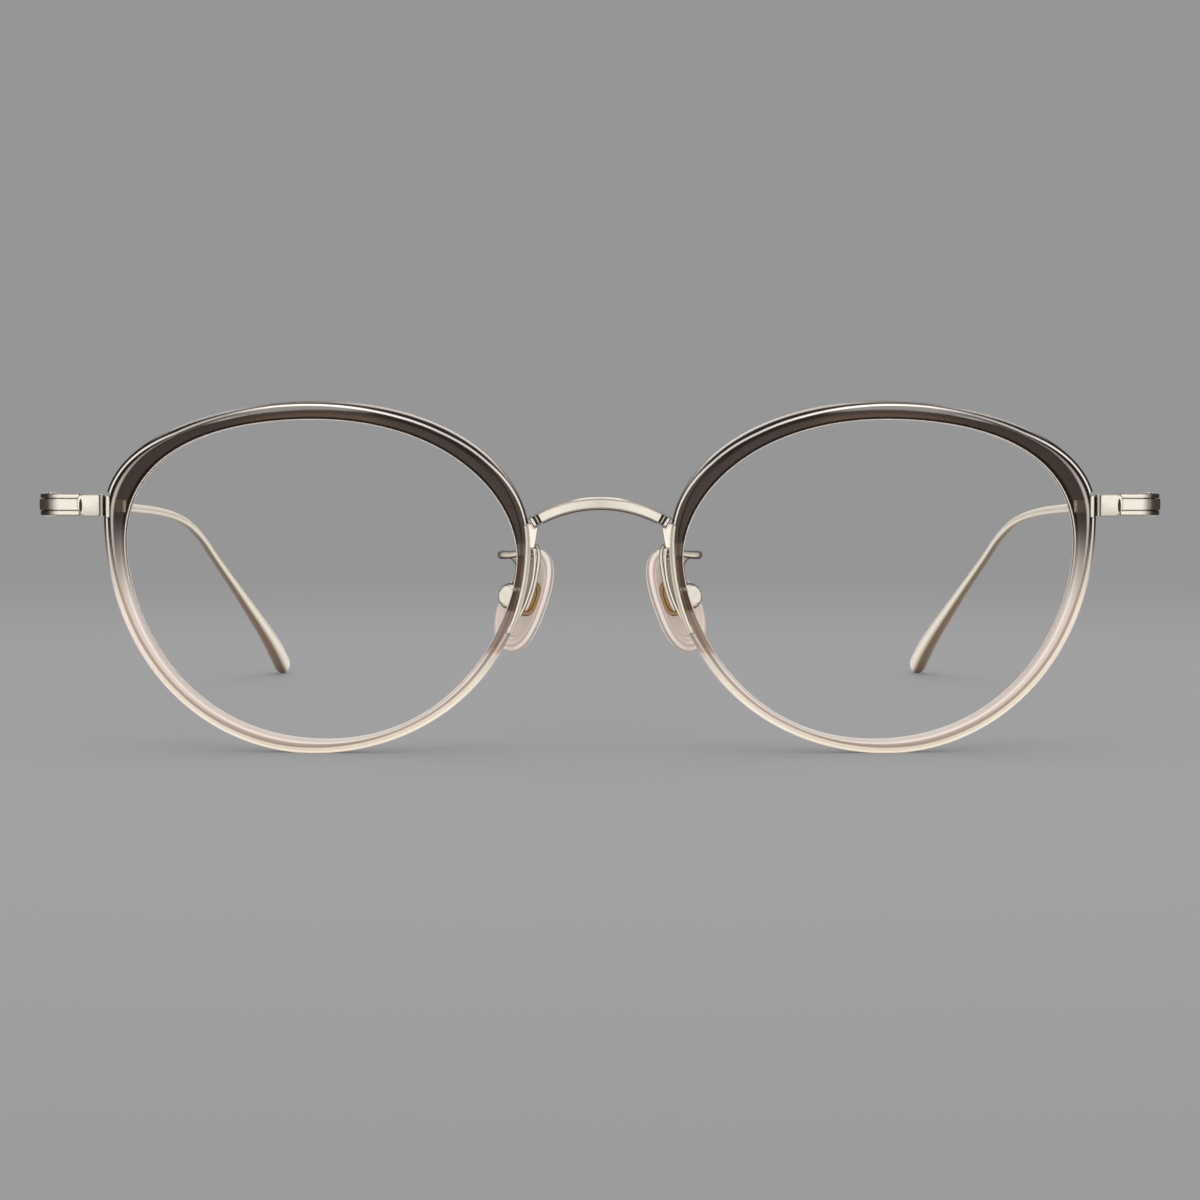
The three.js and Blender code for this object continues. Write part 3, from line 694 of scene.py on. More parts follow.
# %% The front's outlines
CENTRE = np.array([-35.5, 22.5])
OPENING = {
    "nose": (-10.45, 24.62),
    "top": (-36.0, 42.0),
    "temple": (-60.02, 26.56),
    "foot": (-34.71, 1.71),
    "handles": (7.86, 16.8, 7.1, 14.09, 9.41, 18.1, 17.42, 6.82),
}
OUTLINE = {
    "nose": (-8.8, 26.5),
    "top": (-35.6, 44.4),
    "temple": (-62.9, 30.3),
    "foot": (-36.4, -0.06),
    "handles": (10.2, 15.9, 11.1, 10.05, 19.7, 12.9, 15.4, 15.6),
}
DISH_RADIUS = 130.0
DISH_LOW = (-25.8, 22.0)


def outline_points(shape):
    """Four cubic curves through the extreme points, with level or upright handles of the given lengths."""
    nose, top, temple, foot = (np.array(shape[name]) for name in ("nose", "top", "temple", "foot"))
    a, b, c, d, e, f, g, h = shape["handles"]
    across, up = np.array([1.0, 0.0]), np.array([0.0, 1.0])
    curves = [
        (nose, nose + a * up, top + b * across, top),
        (top, top - c * across, temple + d * up, temple),
        (temple, temple - e * up, foot - f * across, foot),
        (foot, foot + g * across, nose - h * up, nose),
    ]
    t = np.linspace(0.0, 1.0, 600, endpoint=False)[:, None]
    parts = [(1 - t) ** 3 * p + 3 * t * (1 - t) ** 2 * q + 3 * t ** 2 * (1 - t) * r + t ** 3 * s
             for p, q, r, s in curves]
    return np.concatenate(parts)


def reach(shape, angles):
    """Distance from the rim's centre to an outline in each direction."""
    away = outline_points(shape) - CENTRE
    found = np.arctan2(away[:, 1], away[:, 0])
    return np.interp(angles, found, np.hypot(*away.T), period=2 * np.pi)


def on_front(angle, radius, depth):
    """Points at a direction and distance from the rim's centre, at a depth behind the dished face. The foot
    is flat where the rim stands on the table."""
    x = CENTRE[0] + radius * np.cos(angle)
    z = np.maximum(CENTRE[1] + radius * np.sin(angle), 0.0)
    dish = ((x - DISH_LOW[0]) ** 2 + (z - DISH_LOW[1]) ** 2) / (2 * DISH_RADIUS)
    return np.stack([x, dish + depth, z], -1)


print("lens opening", round(float(np.ptp(outline_points(OPENING)[:, 0])), 1), "mm wide")

# %% [markdown]
# The rim is one section carried round all directions. Its corners are written as an offset from the
# opening or from the outer edge, and a depth. The seam lies at the bottom of the lens groove, where nobody
# sees it. Where the metal strip at the nose and the lug at the temple are let in, the section is cut back
# to a flat seat.

# %% Moulded rims
FROM_OUTLINE = np.array([0, 0, 0, 0, 1, 1, 1, 1, 1, 0, 0, 0])
CORNER_OFFSET = np.array([0.5, 0.0, 0.0, 0.3, -1.06, -0.4, 0.0, 0.0, -0.45, 0.3, 0.0, 0.0])
CORNER_DEPTH = np.array([1.5, 0.75, 0.3, 0.0, 0.0, 0.2, 0.75, 2.45, 3.0, 3.0, 2.75, 2.25])
CORNER_ROUND = np.array([0.03, 0.04, 0.1, 0.1, 0.1, 0.24, 0.24, 0.25, 0.2, 0.12, 0.1, 0.04])
STRIP_FROM = np.radians(-16.7)
STRIP_TO = np.radians(13.4)
STRIP_WIDE = 0.55
SEAT_GAP = 0.06
LUG_SEAT_X = -61.99
LUG_Z = np.array([29.65, 32.4])
LUG_AWAY = 27.6
STRIP_AWAY = 27.0
CLOSE_PAIR = 2e-4
RIM_RINGS = 480
RIM_STEPS = 4


def rim_angles():
    """Even directions, with a close pair at each end of the two seats for a crisp step."""
    lug = np.pi - np.arcsin((LUG_Z + (-SEAT_GAP, SEAT_GAP) - CENTRE[1]) / LUG_AWAY)
    gap = SEAT_GAP / STRIP_AWAY
    ends = np.array([STRIP_FROM - gap, STRIP_TO + gap, *lug])
    even = np.linspace(-np.pi / 3, 5 * np.pi / 3, RIM_RINGS, endpoint=False)
    return np.sort(np.concatenate([even, ends - CLOSE_PAIR, ends + CLOSE_PAIR])), ends


def rim_shell():
    """Rounded section at each direction, no further out than the seats' floors. A point's mark is the number
    of corners passed round the section, as a share of them all."""
    angles, (strip_low, strip_high, lug_low, lug_high) = rim_angles()
    inner, outer = reach(OPENING, angles), reach(OUTLINE, angles)
    radius = np.where(FROM_OUTLINE == 1, outer[:, None], inner[:, None]) + CORNER_OFFSET
    corners = np.stack([radius, CORNER_DEPTH + 0 * radius], -1)
    section = rounded(corners, CORNER_ROUND, RIM_STEPS)
    radius, depth = section[..., 0], section[..., 1]
    in_strip = ((angles > strip_low) & (angles < strip_high))[:, None]
    in_lug = ((angles > lug_high) & (angles < lug_low))[:, None]
    strip_seat = (outer - STRIP_WIDE - SEAT_GAP)[:, None]
    lug_seat = ((LUG_SEAT_X - CENTRE[0]) / np.cos(angles))[:, None]
    radius = np.where(in_strip, np.minimum(radius, strip_seat), radius)
    radius = np.where(in_lug, np.minimum(radius, lug_seat), radius)
    before, after = corner_shares(corners, CORNER_ROUND)
    number = np.broadcast_to(np.arange(RIM_CORNERS, dtype=float)[:, None], before.shape)
    around = bows(number - before, number, number + after, RIM_STEPS)[..., 0]
    marks = np.maximum(around, 0.0) / RIM_CORNERS
    return skin(on_front(angles[:, None], radius, depth), marks, closed=True)


lay_pair("moulded_rim", rim_shell(), gradient_plastic, "front", ["rim"])

# %% [markdown]
# The lens follows the same dished face with an even thickness. Its edge is ground to a bevel that sits in
# the rim's groove. Rings that grow from a pole in the middle give its two faces.

# %% Lenses
LENS_FRONT = 0.85
LENS_BACK = 2.15
LENS_BEVEL = 0.35
LENS_INSET = 0.1


def full_turn(count):
    """Even angles once round a circle."""
    return np.linspace(0.0, 2 * np.pi, count, endpoint=False)


def lens_shell():
    """Rings at growing shares of the distance to the opening, one ring at the bevel's edge further out, and
    the first rings again in reverse at the back."""
    angles = full_turn(240)
    inner = reach(OPENING, angles)
    share = np.linspace(0.01, 1.0, 16)[:, None]
    face = share * (inner - LENS_INSET)
    edge = (inner + LENS_BEVEL)[None]
    radius = np.concatenate([face, edge, face[::-1]])
    depth = np.concatenate([0 * share + LENS_FRONT, [[(LENS_FRONT + LENS_BACK) / 2]], 0 * share + LENS_BACK])
    return skin(on_front(angles, radius, depth))


lay_pair("fitted_lens", lens_shell(), coated_lens, "front", ["lens"])

# %% [markdown]
# The bridge is one arched bar with chamfered edges and grooves turned into each end. The arch is part
# of a circle, and the bar runs a little deeper towards its ends. The grooves are a loss of section along
# the arch, so they go right round the bar.

# %% Bridge
BRIDGE_RADIUS = 16.2
BRIDGE_TOP = 31.53
BRIDGE_HALF = np.radians(32.3)
BRIDGE_HEIGHT = 1.62
BRIDGE_THICK = 1.5
BRIDGE_CHAMFER = 0.25
BRIDGE_DEPTHS = (1.3, 2.05)
BRIDGE_GROOVES = ((0.06, 0.2), (0.5, 0.88), (0.96, 1.34))
GROOVED_LONG = 1.6
GROOVE_INSET = 0.22
GROOVE_WALL = 0.04
MIDDLE_EDGE_SHADE = ([0.6, 0, 0, 0, 0, 0, 0.75, 0.6], [0, 0, 0, 0, 0, 0, 0.7, 0])
ENDS_EDGE_SHADE = ([0.4, 0.75, 0, 0, 0, 0, 0.75, 0.6], [0.65, 0, 0, 0, 0, 0, 0.7, 0])


def climb(value, start, over):
    """Straight ramp from 0 at the start to 1 after a distance, which is negative for a ramp the other way."""
    return np.clip((value - start) / over, 0.0, 1.0)


def edge_marks(strengths, sides=0.0, steps=5):
    """Marks for a rounded outline: each corner's strength on its curve, and on the flat side after each
    corner the strength of that side."""
    strengths = np.array(strengths, float)[:, None]
    sides = np.broadcast_to(sides, len(strengths))[:, None]
    bent = np.repeat(strengths, steps + 1, axis=1)
    return np.concatenate([np.roll(sides, 1, axis=0), bent, sides], axis=1).ravel()


def bridge_shell():
    """Eight-cornered section carried along an arc, smaller by an inset in the grooves. Its depth grows with
    the square of the share of the arch. Rings are close together near the ends, where the grooves are."""
    end = BRIDGE_HALF * BRIDGE_RADIUS
    fine = np.linspace(0.0, GROOVED_LONG, 161)
    from_end = np.concatenate([fine, np.linspace(GROOVED_LONG + 0.05, end, 80)])
    inset = np.zeros_like(from_end)
    for start, stop in BRIDGE_GROOVES:
        inset += climb(from_end, start, GROOVE_WALL) * climb(from_end, stop, -GROOVE_WALL)
    groove = np.concatenate([inset, inset[-2::-1]])
    inset = GROOVE_INSET * groove
    angle = (from_end - end) / BRIDGE_RADIUS
    angle = np.concatenate([angle, -angle[-2::-1]])[:, None]
    high = (BRIDGE_HEIGHT / 2 - inset)[:, None]
    deep = (BRIDGE_THICK / 2 - inset)[:, None]
    up = np.array([1, 1, 1, 1, -1, -1, -1, -1])
    back = np.array([-1, -1, 1, 1, 1, 1, -1, -1])
    cut_up = BRIDGE_CHAMFER * np.array([1, 0, 0, 1, 1, 0, 0, 1])
    cut_back = BRIDGE_CHAMFER * np.array([0, 1, 1, 0, 0, 1, 1, 0])
    corners = np.stack([up * (high - cut_up), back * (deep - cut_back)], -1)
    section = rounded(corners, 0.1)
    radius = BRIDGE_RADIUS + section[..., 0]
    share = angle / BRIDGE_HALF
    depth = BRIDGE_DEPTHS[0] + (BRIDGE_DEPTHS[1] - BRIDGE_DEPTHS[0]) * share ** 2 + section[..., 1]
    rise = BRIDGE_TOP - BRIDGE_RADIUS + radius * np.cos(angle)
    # Marks are painted shade: dark in the grooves, on some edges of the section, and a little towards the
    # middle of the arch.
    middle = np.clip(2 - 5 * np.abs(share), 0.0, 1.0)
    edge = middle * edge_marks(*MIDDLE_EDGE_SHADE) + (1 - middle) * edge_marks(*ENDS_EDGE_SHADE)
    painted_shade = 0.28 * np.clip(1 - 1.6 * np.abs(share), 0.0, 1.0)
    marks = np.maximum(0.96 * groove[:, None], np.maximum(edge, painted_shade))
    return skin(np.stack([radius * np.sin(angle), depth, rise], -1), marks)


lay("arched_bridge", bridge_shell(), champagne, "front", ["bridge"])
print("bridge arch", round(2 * BRIDGE_RADIUS * np.sin(BRIDGE_HALF), 1), "mm wide")

# %% [markdown]
# The small fittings need three more kinds of surface. A smooth line runs through a few points, for bent
# wire and curved walls. A turned body is a profile spun about an axis, for screws and rivets. A plate is an
# outline with a thickness and rounded edges.

# %% Lines, turned bodies and plates
FLAT_RING = 0.02
EDGE_STEPS = 5


def unit(vectors):
    """Vectors of length 1 in the same directions."""
    return vectors / np.linalg.norm(vectors, axis=-1, keepdims=True)


def smooth_line(points, shares):
    """Curve through points: cubic stretches whose slope at a point comes from its two neighbours, where a
    stretch takes the square root of its length as its time. It is read at shares of the whole length."""
    p = np.array(points, float)
    p = np.vstack([2 * p[0] - p[1], p, 2 * p[-1] - p[-2]])
    step = np.sqrt(np.linalg.norm(np.diff(p, axis=0), axis=1))[:, None]
    t0, t1, t2 = step[:-2], step[1:-1], step[2:]
    p0, p1, p2, p3 = p[:-3], p[1:-2], p[2:-1], p[3:]
    leave = ((p1 - p0) / t0 - (p2 - p0) / (t0 + t1) + (p2 - p1) / t1) * t1
    arrive = ((p2 - p1) / t1 - (p3 - p1) / (t1 + t2) + (p3 - p2) / t2) * t1
    t = np.linspace(0.0, 1.0, 200)[None, :, None]
    p1, p2, leave, arrive = p1[:, None], p2[:, None], leave[:, None], arrive[:, None]
    line = (2 * t ** 3 - 3 * t ** 2 + 1) * p1 + (t ** 3 - 2 * t ** 2 + t) * leave
    line += (3 * t ** 2 - 2 * t ** 3) * p2 + (t ** 3 - t ** 2) * arrive
    line = line.reshape(-1, p.shape[1])
    far = np.concatenate([[0.0], np.cumsum(np.linalg.norm(np.diff(line, axis=0), axis=1))])
    return np.stack([np.interp(shares * far[-1], far, axis) for axis in line.T], -1), far[-1]


def turned(profile, sides=64):
    """Turned body about the third axis from pairs of radius and height, as rings (pairs, sides, 3)."""
    profile = np.array(profile, float)
    turn = full_turn(sides)
    radius, height = profile[:, :1], profile[:, 1:]
    return np.stack([radius * np.cos(turn), radius * np.sin(turn), height + 0 * turn], -1)


def upright(flat, depth):
    """Points (..., 2) of the front's plane, x and z, set at a depth."""
    return np.stack([flat[..., 0], np.broadcast_to(depth, flat.shape[:-1]), flat[..., 1]], -1)


def plate(outline, front, back, edge, corner=0.2, outline_shade=0.0):
    """Flat plate: an outline (x, z) with rounded corners, and its two faces drawn in by the edge's rounding.
    A ring's inset along the outline's own normals is edge * (1 - sin), and its depth edge * (1 - cos). One
    more ring just inside each face keeps the face's shading flat. The last argument is the mark of the
    rounded
    edge: a painted dark outline of shade."""
    line = rounded(np.array(outline, float), corner)
    along = np.roll(line, -1, axis=0) - np.roll(line, 1, axis=0)
    normal = unit(np.stack([along[:, 1], -along[:, 0]], -1))
    area = np.sum(line[:, 0] * np.roll(line[:, 1], -1) - np.roll(line[:, 0], -1) * line[:, 1])
    normal *= np.sign(area)
    turn = np.linspace(0.0, np.pi / 2, EDGE_STEPS)
    inset = edge * (1 - np.sin(turn))
    depth = edge * (1 - np.cos(turn))
    inset = np.concatenate([[inset[0] + FLAT_RING], inset])
    depth = np.concatenate([[0.0], depth])
    insets = np.concatenate([inset, inset[::-1]])
    depths = np.concatenate([front + depth, back - depth[::-1]])
    flat = line[None] - normal[None] * insets[:, None, None]
    ring = np.arange(len(insets))
    marks = outline_shade * np.clip(np.minimum(ring, ring[::-1]) - 1, 0, 1)
    return skin(upright(flat, depths[:, None]), marks[:, None])


print("a turned disc has", turned([(0.0, 0.0), (1.0, 0.0)]).shape[1], "sides")

# %% [markdown]
# A metal strip lies in the nasal edge of each rim and continues its rounded outside. Beside it is a shallow
# channel: a floor in the shade with two tiny rivets, and a thin upright wall that carries the pad arm. A
# tapered web runs up to the bridge. The strip repeats the outer part of the rim's section, the wall is a
# narrow section carried along its line, and floor and web are plates with rounded edges.

# %% Nose brackets
FLANGE_Y = (2.4, 3.2)
FLOOR_Y = (2.95, 3.2)
WEB_Y = (1.75, 3.0)
WALL_THICK = 0.22
WALL_ROUND = 0.08
WALL_LINE = [
    (-8.75, 25.95), (-8.42, 25.75), (-8.24, 25.2), (-8.2, 24.2), (-8.42, 22.1), (-8.78, 20.6), (-9.5, 18.6),
    (-10.45, 16.8), (-11.2, 15.6),
]
FLOOR = [
    (-9.3, 26.2), (-8.55, 26.2), (-8.25, 25.7), (-8.2, 24.3), (-8.42, 22.1), (-8.78, 20.6), (-9.5, 18.6),
    (-10.45, 16.7), (-11.2, 15.6), (-11.5, 15.9), (-10.6, 18.4), (-9.6, 22.0),
]
WEB = [(-9.2, 29.0), (-8.3, 29.0), (-7.7, 28.9), (-8.1, 26.5), (-8.25, 25.9), (-9.2, 25.9)]
RIVETS = [(-8.47, 25.1), (-8.52, 24.5)]
RIVET_RADIUS = 0.15
RIVET_HIGH = 0.2
STRIP_OFFSET = np.array([-0.55, -0.12, 0.18, 0.18, -0.4, -0.55])
STRIP_DEPTH = np.array([0.04, 0.2, 0.75, 2.45, 3.0, 3.0])
STRIP_ROUND = np.array([0.06, 0.16, 0.22, 0.25, 0.2, 0.05])
STRIP_EDGE_SHADE = [0.7, 0.4, 0.5, 0, 0, 0]
DEEP_SHADE = 25.3


def wall_shell():
    """Upright wall: a rectangle with rounded edges carried along a line in the front's plane, with its width
    square to the line and its height along the depth."""
    line, _ = smooth_line(WALL_LINE, np.linspace(0.0, 1.0, 120))
    ahead = unit(np.gradient(line, axis=0))
    beside = np.stack([ahead[:, 1], -ahead[:, 0]], -1)
    half = WALL_THICK / 2
    front, back = FLANGE_Y
    corners = np.array([(-half, front), (half, front), (half, back), (-half, back)])
    section = rounded(corners, WALL_ROUND)
    flat = line[:, None] + beside[:, None] * section[:, :1]
    # Painted shade on all but the wall's front edge.
    sides = 0.8 * (section[:, 1] > front + 0.09)
    return skin(upright(flat, section[:, 1]), sides)


def rivet(x, z):
    """Low dome on the channel's floor."""
    turn = np.linspace(0.05, np.pi / 2, 10)
    dome = turned(np.stack([RIVET_RADIUS * np.sin(turn), RIVET_HIGH * np.cos(turn)], -1), 32)
    return skin(np.stack([x + dome[..., 0], FLOOR_Y[0] - dome[..., 2], z + dome[..., 1]], -1))


def bracket_shell():
    """The strip's section carried over its directions, with the floor, the wall, the web and the rivets. The
    floor's mark, its painted shade, grows with the height above a limit, and strip and web have painted dark
    edges."""
    angles = np.linspace(STRIP_FROM, STRIP_TO, 140)
    radius = reach(OUTLINE, angles)[:, None] + STRIP_OFFSET
    section = rounded(np.stack([radius, STRIP_DEPTH + 0 * radius], -1), STRIP_ROUND)
    strip = skin(on_front(angles[:, None], section[..., 0], section[..., 1]), edge_marks(STRIP_EDGE_SHADE))
    floor = plate(FLOOR, *FLOOR_Y, 0.05, 0.3)
    floor = marked(floor, 0.6 + 0.35 * climb(floor[0][:, 2], DEEP_SHADE, 0.4))
    web = plate(WEB, *WEB_Y, 0.1, 0.12, 0.7)
    return together(strip, floor, wall_shell(), web, *[rivet(*spot) for spot in RIVETS])


lay_pair("nose_strip", bracket_shell(), satin, "front", ["nose_bracket"])

# %% [markdown]
# The pad arm is one bent wire: up along the channel's wall, where it is drawn thin and soldered, over the
# top, out behind the lens, round a tight bend and down to the pad. A circle is carried along a smooth line.
# Each ring's first direction is the one before it, less the part that points along the wire, so that the
# wire doesn't twist.

# %% Pad arms
WIRE_RADIUS = 0.42
SOLDERED_RADIUS = 0.25
BEND_SWELL = 0.12
BEND_AT = 0.7
PAD_ARM_LINE = [
    (-9.4, 3.5, 17.9), (-8.5, 3.5, 20.3), (-7.87, 3.5, 23.2), (-7.7, 3.55, 25.2), (-8.0, 4.0, 26.05),
    (-8.85, 5.0, 26.0), (-9.8, 5.7, 25.3), (-11.2, 6.3, 24.95), (-12.35, 7.0, 24.9), (-12.5, 7.6, 24.85),
    (-12.1, 8.3, 24.8), (-11.2, 8.7, 24.7), (-10.4, 8.2, 23.7), (-10.4, 7.6, 22.5), (-10.81, 7.5, 21.3),
]


def wire_shell(line, radius, outline_shade, sides=28):
    """Round wire along points: rings of these radii, square to the line. The third argument is the mark of
    its two sides, where it doesn't face the front or the back: painted shade along them."""
    ahead = unit(np.gradient(line, axis=0))
    side = np.cross(ahead, (0.0, 1.0, 0.0))
    side[0] = unit(side[0])
    for spot in range(1, len(line)):
        kept = side[spot - 1] - ahead[spot] * (side[spot - 1] @ ahead[spot])
        side[spot] = kept / np.linalg.norm(kept)
    up = np.cross(ahead, side)
    turn = full_turn(sides)[None, :, None]
    ring = np.cos(turn) * side[:, None] + np.sin(turn) * up[:, None]
    aside = outline_shade * climb(np.abs(ring[..., 1]), 0.9, -0.25)
    return skin(line[:, None] + ring * radius[:, None, None], aside)


def arm_shell():
    """Wire whose radius grows from its first point with the root of the share, swells where it leaves the
    wall, and has a bell-shaped bulge at the bend."""
    share = np.linspace(0.0, 1.0, 260)
    line, _ = smooth_line(PAD_ARM_LINE, share)
    point = np.minimum(1.0, 0.3 + 3.5 * share ** 0.5)
    swell = climb(share, 0.4, 0.15)
    bend = BEND_SWELL * np.exp(-((share - BEND_AT) / 0.1) ** 2)
    radius = point * (SOLDERED_RADIUS + (WIRE_RADIUS - SOLDERED_RADIUS) * swell) + bend
    return wire_shell(line, radius, 0.85)


lay_pair("pad_wire", arm_shell(), satin, "front", ["pad_arm"])

# %% [markdown]
# The pad, its plate and the cup it hangs in are drawn about the pad screw. The joint gives the screw's
# place and direction, and the pad leans with the side of the nose, so the three axes are along the screw,
# up the pad, and out of its face.

# %% The pad's own axes
PAD_LEAN = np.radians(19.0)
rock = JOINTS["pad_left_rock"]
PAD_SCREW = np.array(rock["pos_m"]) / MM - (0.0, FRONT, 0.0)
screw_axis = unit(np.array(rock["axis"]))
pad_up = np.array([np.sin(PAD_LEAN), 0.0, np.cos(PAD_LEAN)])
pad_face = np.cross(screw_axis, pad_up)
PAD_AXES = np.stack([screw_axis, pad_up, pad_face])
SCREW_AXES = np.stack([pad_face, pad_up, screw_axis])


def about_screw(points, axes=PAD_AXES):
    """Points given along three axes at the pad screw, in the front's own coordinates."""
    return PAD_SCREW + points @ axes


print("pad face looks along", np.round(pad_face, 2))

# %% [markdown]
# Pads, plates and temples have sections between an oval and a rectangle. A superellipse gives all of them:
# its power is 2 for an ellipse, and the higher it is, the squarer the shape. A smooth step joins one size to
# the next.

# %% Ovals
def squared_round(sides, power):
    """The two coordinates of points on a squared circle, |x|^power + |y|^power = 1, at even directions."""
    turn = full_turn(sides)
    c, s = np.cos(turn), np.sin(turn)
    bulge = (np.abs(c) ** power + np.abs(s) ** power) ** (-1.0 / power)
    return c * bulge, s * bulge


def oval(wide, long, power, sides=96):
    """Points of a superellipse, |x/a|^power + |y/b|^power = 1, as (sides, 2)."""
    x, y = squared_round(sides, power)
    return np.stack([wide / 2 * x, long / 2 * y], -1)


def eased(share):
    """Smooth step: three times the square of a share less twice its cube."""
    return share ** 2 * (3 - 2 * share)


print("an oval of", len(oval(2, 1, 2)), "points")

# %% [markdown]
# The pad is a soft oval, thicker in the middle, with rounded edges and a shallow pocket in its back for the
# plate. Its back half is narrower at the top. It is a skin over ovals that grow from the middle of its face,
# turn round its edge and shrink into the pocket.

# %% Soft pads
PAD_LONG = 13.6
PAD_WIDE = 7.9
PAD_POWER = 2.5
PAD_TAPER = 0.26
PAD_SLIM = 0.05
TAPER_FROM = -2.5
TAPER_OVER = 5.0
PAD_BACK = 1.8
FACE_PLAIN = 6
PAD_EDGE = [
    (0.03, 1.95), (0.45, 1.88), (0.78, 1.65), (0.95, 1.25), (1.0, 0.75), (0.97, 0.25), (0.9, 0.02),
    (0.8, 0.0),
]
PLATE_LONG = 4.6
PLATE_WIDE = 5.2
PLATE_POWER = 3.2
PLATE_AT = np.array([-0.4, 0.5])
PLATE_FRONT = 2.5
POCKET_GAP = 0.1


def raised(flat, rise, at=(0.0, 0.0)):
    """Flat ovals (rings, points, 2) moved in the pad's plane, with a height out of it for each ring."""
    height = np.broadcast_to(np.reshape(rise, (-1, 1)), flat.shape[:-1])
    return np.stack([flat[..., 0] + at[0], flat[..., 1] + at[1], height], -1)


def pad_shell():
    """Ovals scaled and lifted along the edge's curve, from the middle of the face round to the back, then
    ovals down into the pocket. A point's mark is its share of the way out, and on the skin side a high power
    of it, which leaves that side plain."""
    edge, _ = smooth_line(PAD_EDGE, np.linspace(0.0, 1.0, 60))
    body = oval(PAD_WIDE, PAD_LONG, PAD_POWER)
    high = climb(body[:, 1], TAPER_FROM, TAPER_OVER)
    body[:, 0] *= 1 - (body[:, 0] > 0) * (PAD_SLIM + PAD_TAPER * eased(high))
    body = body[None] * edge[:, :1, None]
    pocket = oval(PLATE_WIDE + 2 * POCKET_GAP, PLATE_LONG + 2 * POCKET_GAP, PLATE_POWER)[None]
    drawn = np.array([1.03, 1.0, 0.99, 0.97, 0.03])[:, None, None]
    floor = PLATE_FRONT + POCKET_GAP
    depths = [PAD_BACK, PAD_BACK + 0.05, floor - 0.05, floor, floor]
    rings = np.concatenate([raised(body, PAD_BACK + edge[:, 1]), raised(pocket * drawn, depths, PLATE_AT)])
    face = np.arange(len(edge)) < np.argmax(edge[:, 0])
    lines = np.where(face, edge[:, 0] ** FACE_PLAIN, edge[:, 0])
    outward = np.concatenate([lines, np.zeros(len(depths))])[:, None]
    return skin(about_screw(rings), outward)


lay_pair("soft_pad", pad_shell(), pink_silicone, "pad_{side}", ["nose_pad"])

# %% [markdown]
# Inside the pad lies a thin plate of brown gold, with a line pressed into it round its edge, drawn only as
# painted shade. A tab on its back hangs on the pad screw. The plate is a skin over ovals, as the pad is, and
# the tab is an outline carried over its thickness.

# %% Plates in the pads
PLATE_BACK = 1.95
PLATE_SOFT = 0.07
PLATE_LINE_SHADE = 0.7
TAB_THICK = 0.8
TAB_RADIUS = 0.95


def plate_shell():
    """Disc of ovals from the middle of one face to the edge and back, with a painted dark line of shade
    inside
    the edge, and a tab: an outline of half a circle and a neck, carried over its thickness."""
    share = np.array([0.03, 0.74, 0.76, 0.82, 0.84, 0.94, 1.0])
    dark = PLATE_LINE_SHADE * np.array([0, 0, 1, 1, 0, 0, 1])
    soft = PLATE_SOFT * (share == 1.0)
    shares = np.concatenate([share, share[::-1]])
    lines = np.concatenate([dark, dark[::-1]])
    heights = np.concatenate([PLATE_BACK + soft, PLATE_FRONT - soft[::-1]])
    rings = oval(PLATE_WIDE, PLATE_LONG, PLATE_POWER)[None] * shares[:, None, None]
    disc = skin(about_screw(raised(rings, heights, PLATE_AT)), lines[:, None])
    turn = np.linspace(0.0, np.pi, 24)
    eye = TAB_RADIUS * np.stack([np.cos(turn), -np.sin(turn)], -1)
    neck = np.array([[-0.75, PLATE_BACK + 0.2], [0.75, PLATE_BACK + 0.2]])
    outline = np.concatenate([eye, neck])
    thick = np.array([-1.0, -0.9, 0.9, 1.0])[:, None] * TAB_THICK / 2
    drawn = np.array([0.92, 1.0, 1.0, 0.92])[:, None]
    tab = np.stack([thick + 0 * outline[:, 0], drawn * outline[:, 0], outline[:, 1] + 0 * thick], -1)
    return together(disc, skin(about_screw(tab)))


lay_pair("pad_plate", plate_shell(), gold, "pad_{side}", ["pad_core"])

# %% [markdown]
# The pad hangs in a small round cup with a slot for the plate's tab. The cup is half an ellipsoid with a
# short straight mouth. A screw with a slotted head goes through cup and tab.

# %% Pad cups and screws
CUP_RADIUS = 1.72
CUP_DEEP = 1.55
CUP_MOUTH = 0.75
SLOT_WIDE = 1.0
SLOT_TALL = 2.6
SLOT_DEEP = 1.1
SCREW_RADIUS = 0.36
SCREW_HEAD = 0.6
SCREW_ENDS = (-1.6, 1.78)
HEAD_SLOT = 0.1
HEAD_SLOT_DEEP = 0.14
HEAD_SIDES = 128


def cup_shell():
    """Quarter of an ellipse and a short lip turned about the pad's third axis, then the ovals of the slot.
    Seen from the front, the mark, a painted dark outline of shade, grows near the outline of the cup, away
    from the middle of the screw."""
    turn = np.linspace(np.pi / 2 - 0.02, 0.0, 30)
    dome = np.stack([CUP_RADIUS * np.cos(turn), 0.1 - CUP_DEEP * np.sin(turn)], -1)
    lip = np.array([CUP_RADIUS, CUP_MOUTH]) - [(0.0, 0.12), (0.03, 0.03), (0.12, 0.0)]
    outside = turned(np.concatenate([dome, lip]), 96)
    slot = oval(SLOT_WIDE, SLOT_TALL, 6.0)[None] * np.array([1.06, 1.0, 1.0])[:, None, None]
    inside = raised(slot, [CUP_MOUTH, CUP_MOUTH - 0.06, -SLOT_DEEP])
    shell = skin(about_screw(np.concatenate([outside, inside])))
    across = np.hypot(*(shell[0] - PAD_SCREW)[:, [0, 2]].T)
    return marked(shell, 0.88 * climb(across, 0.8 * CUP_RADIUS, 0.14))


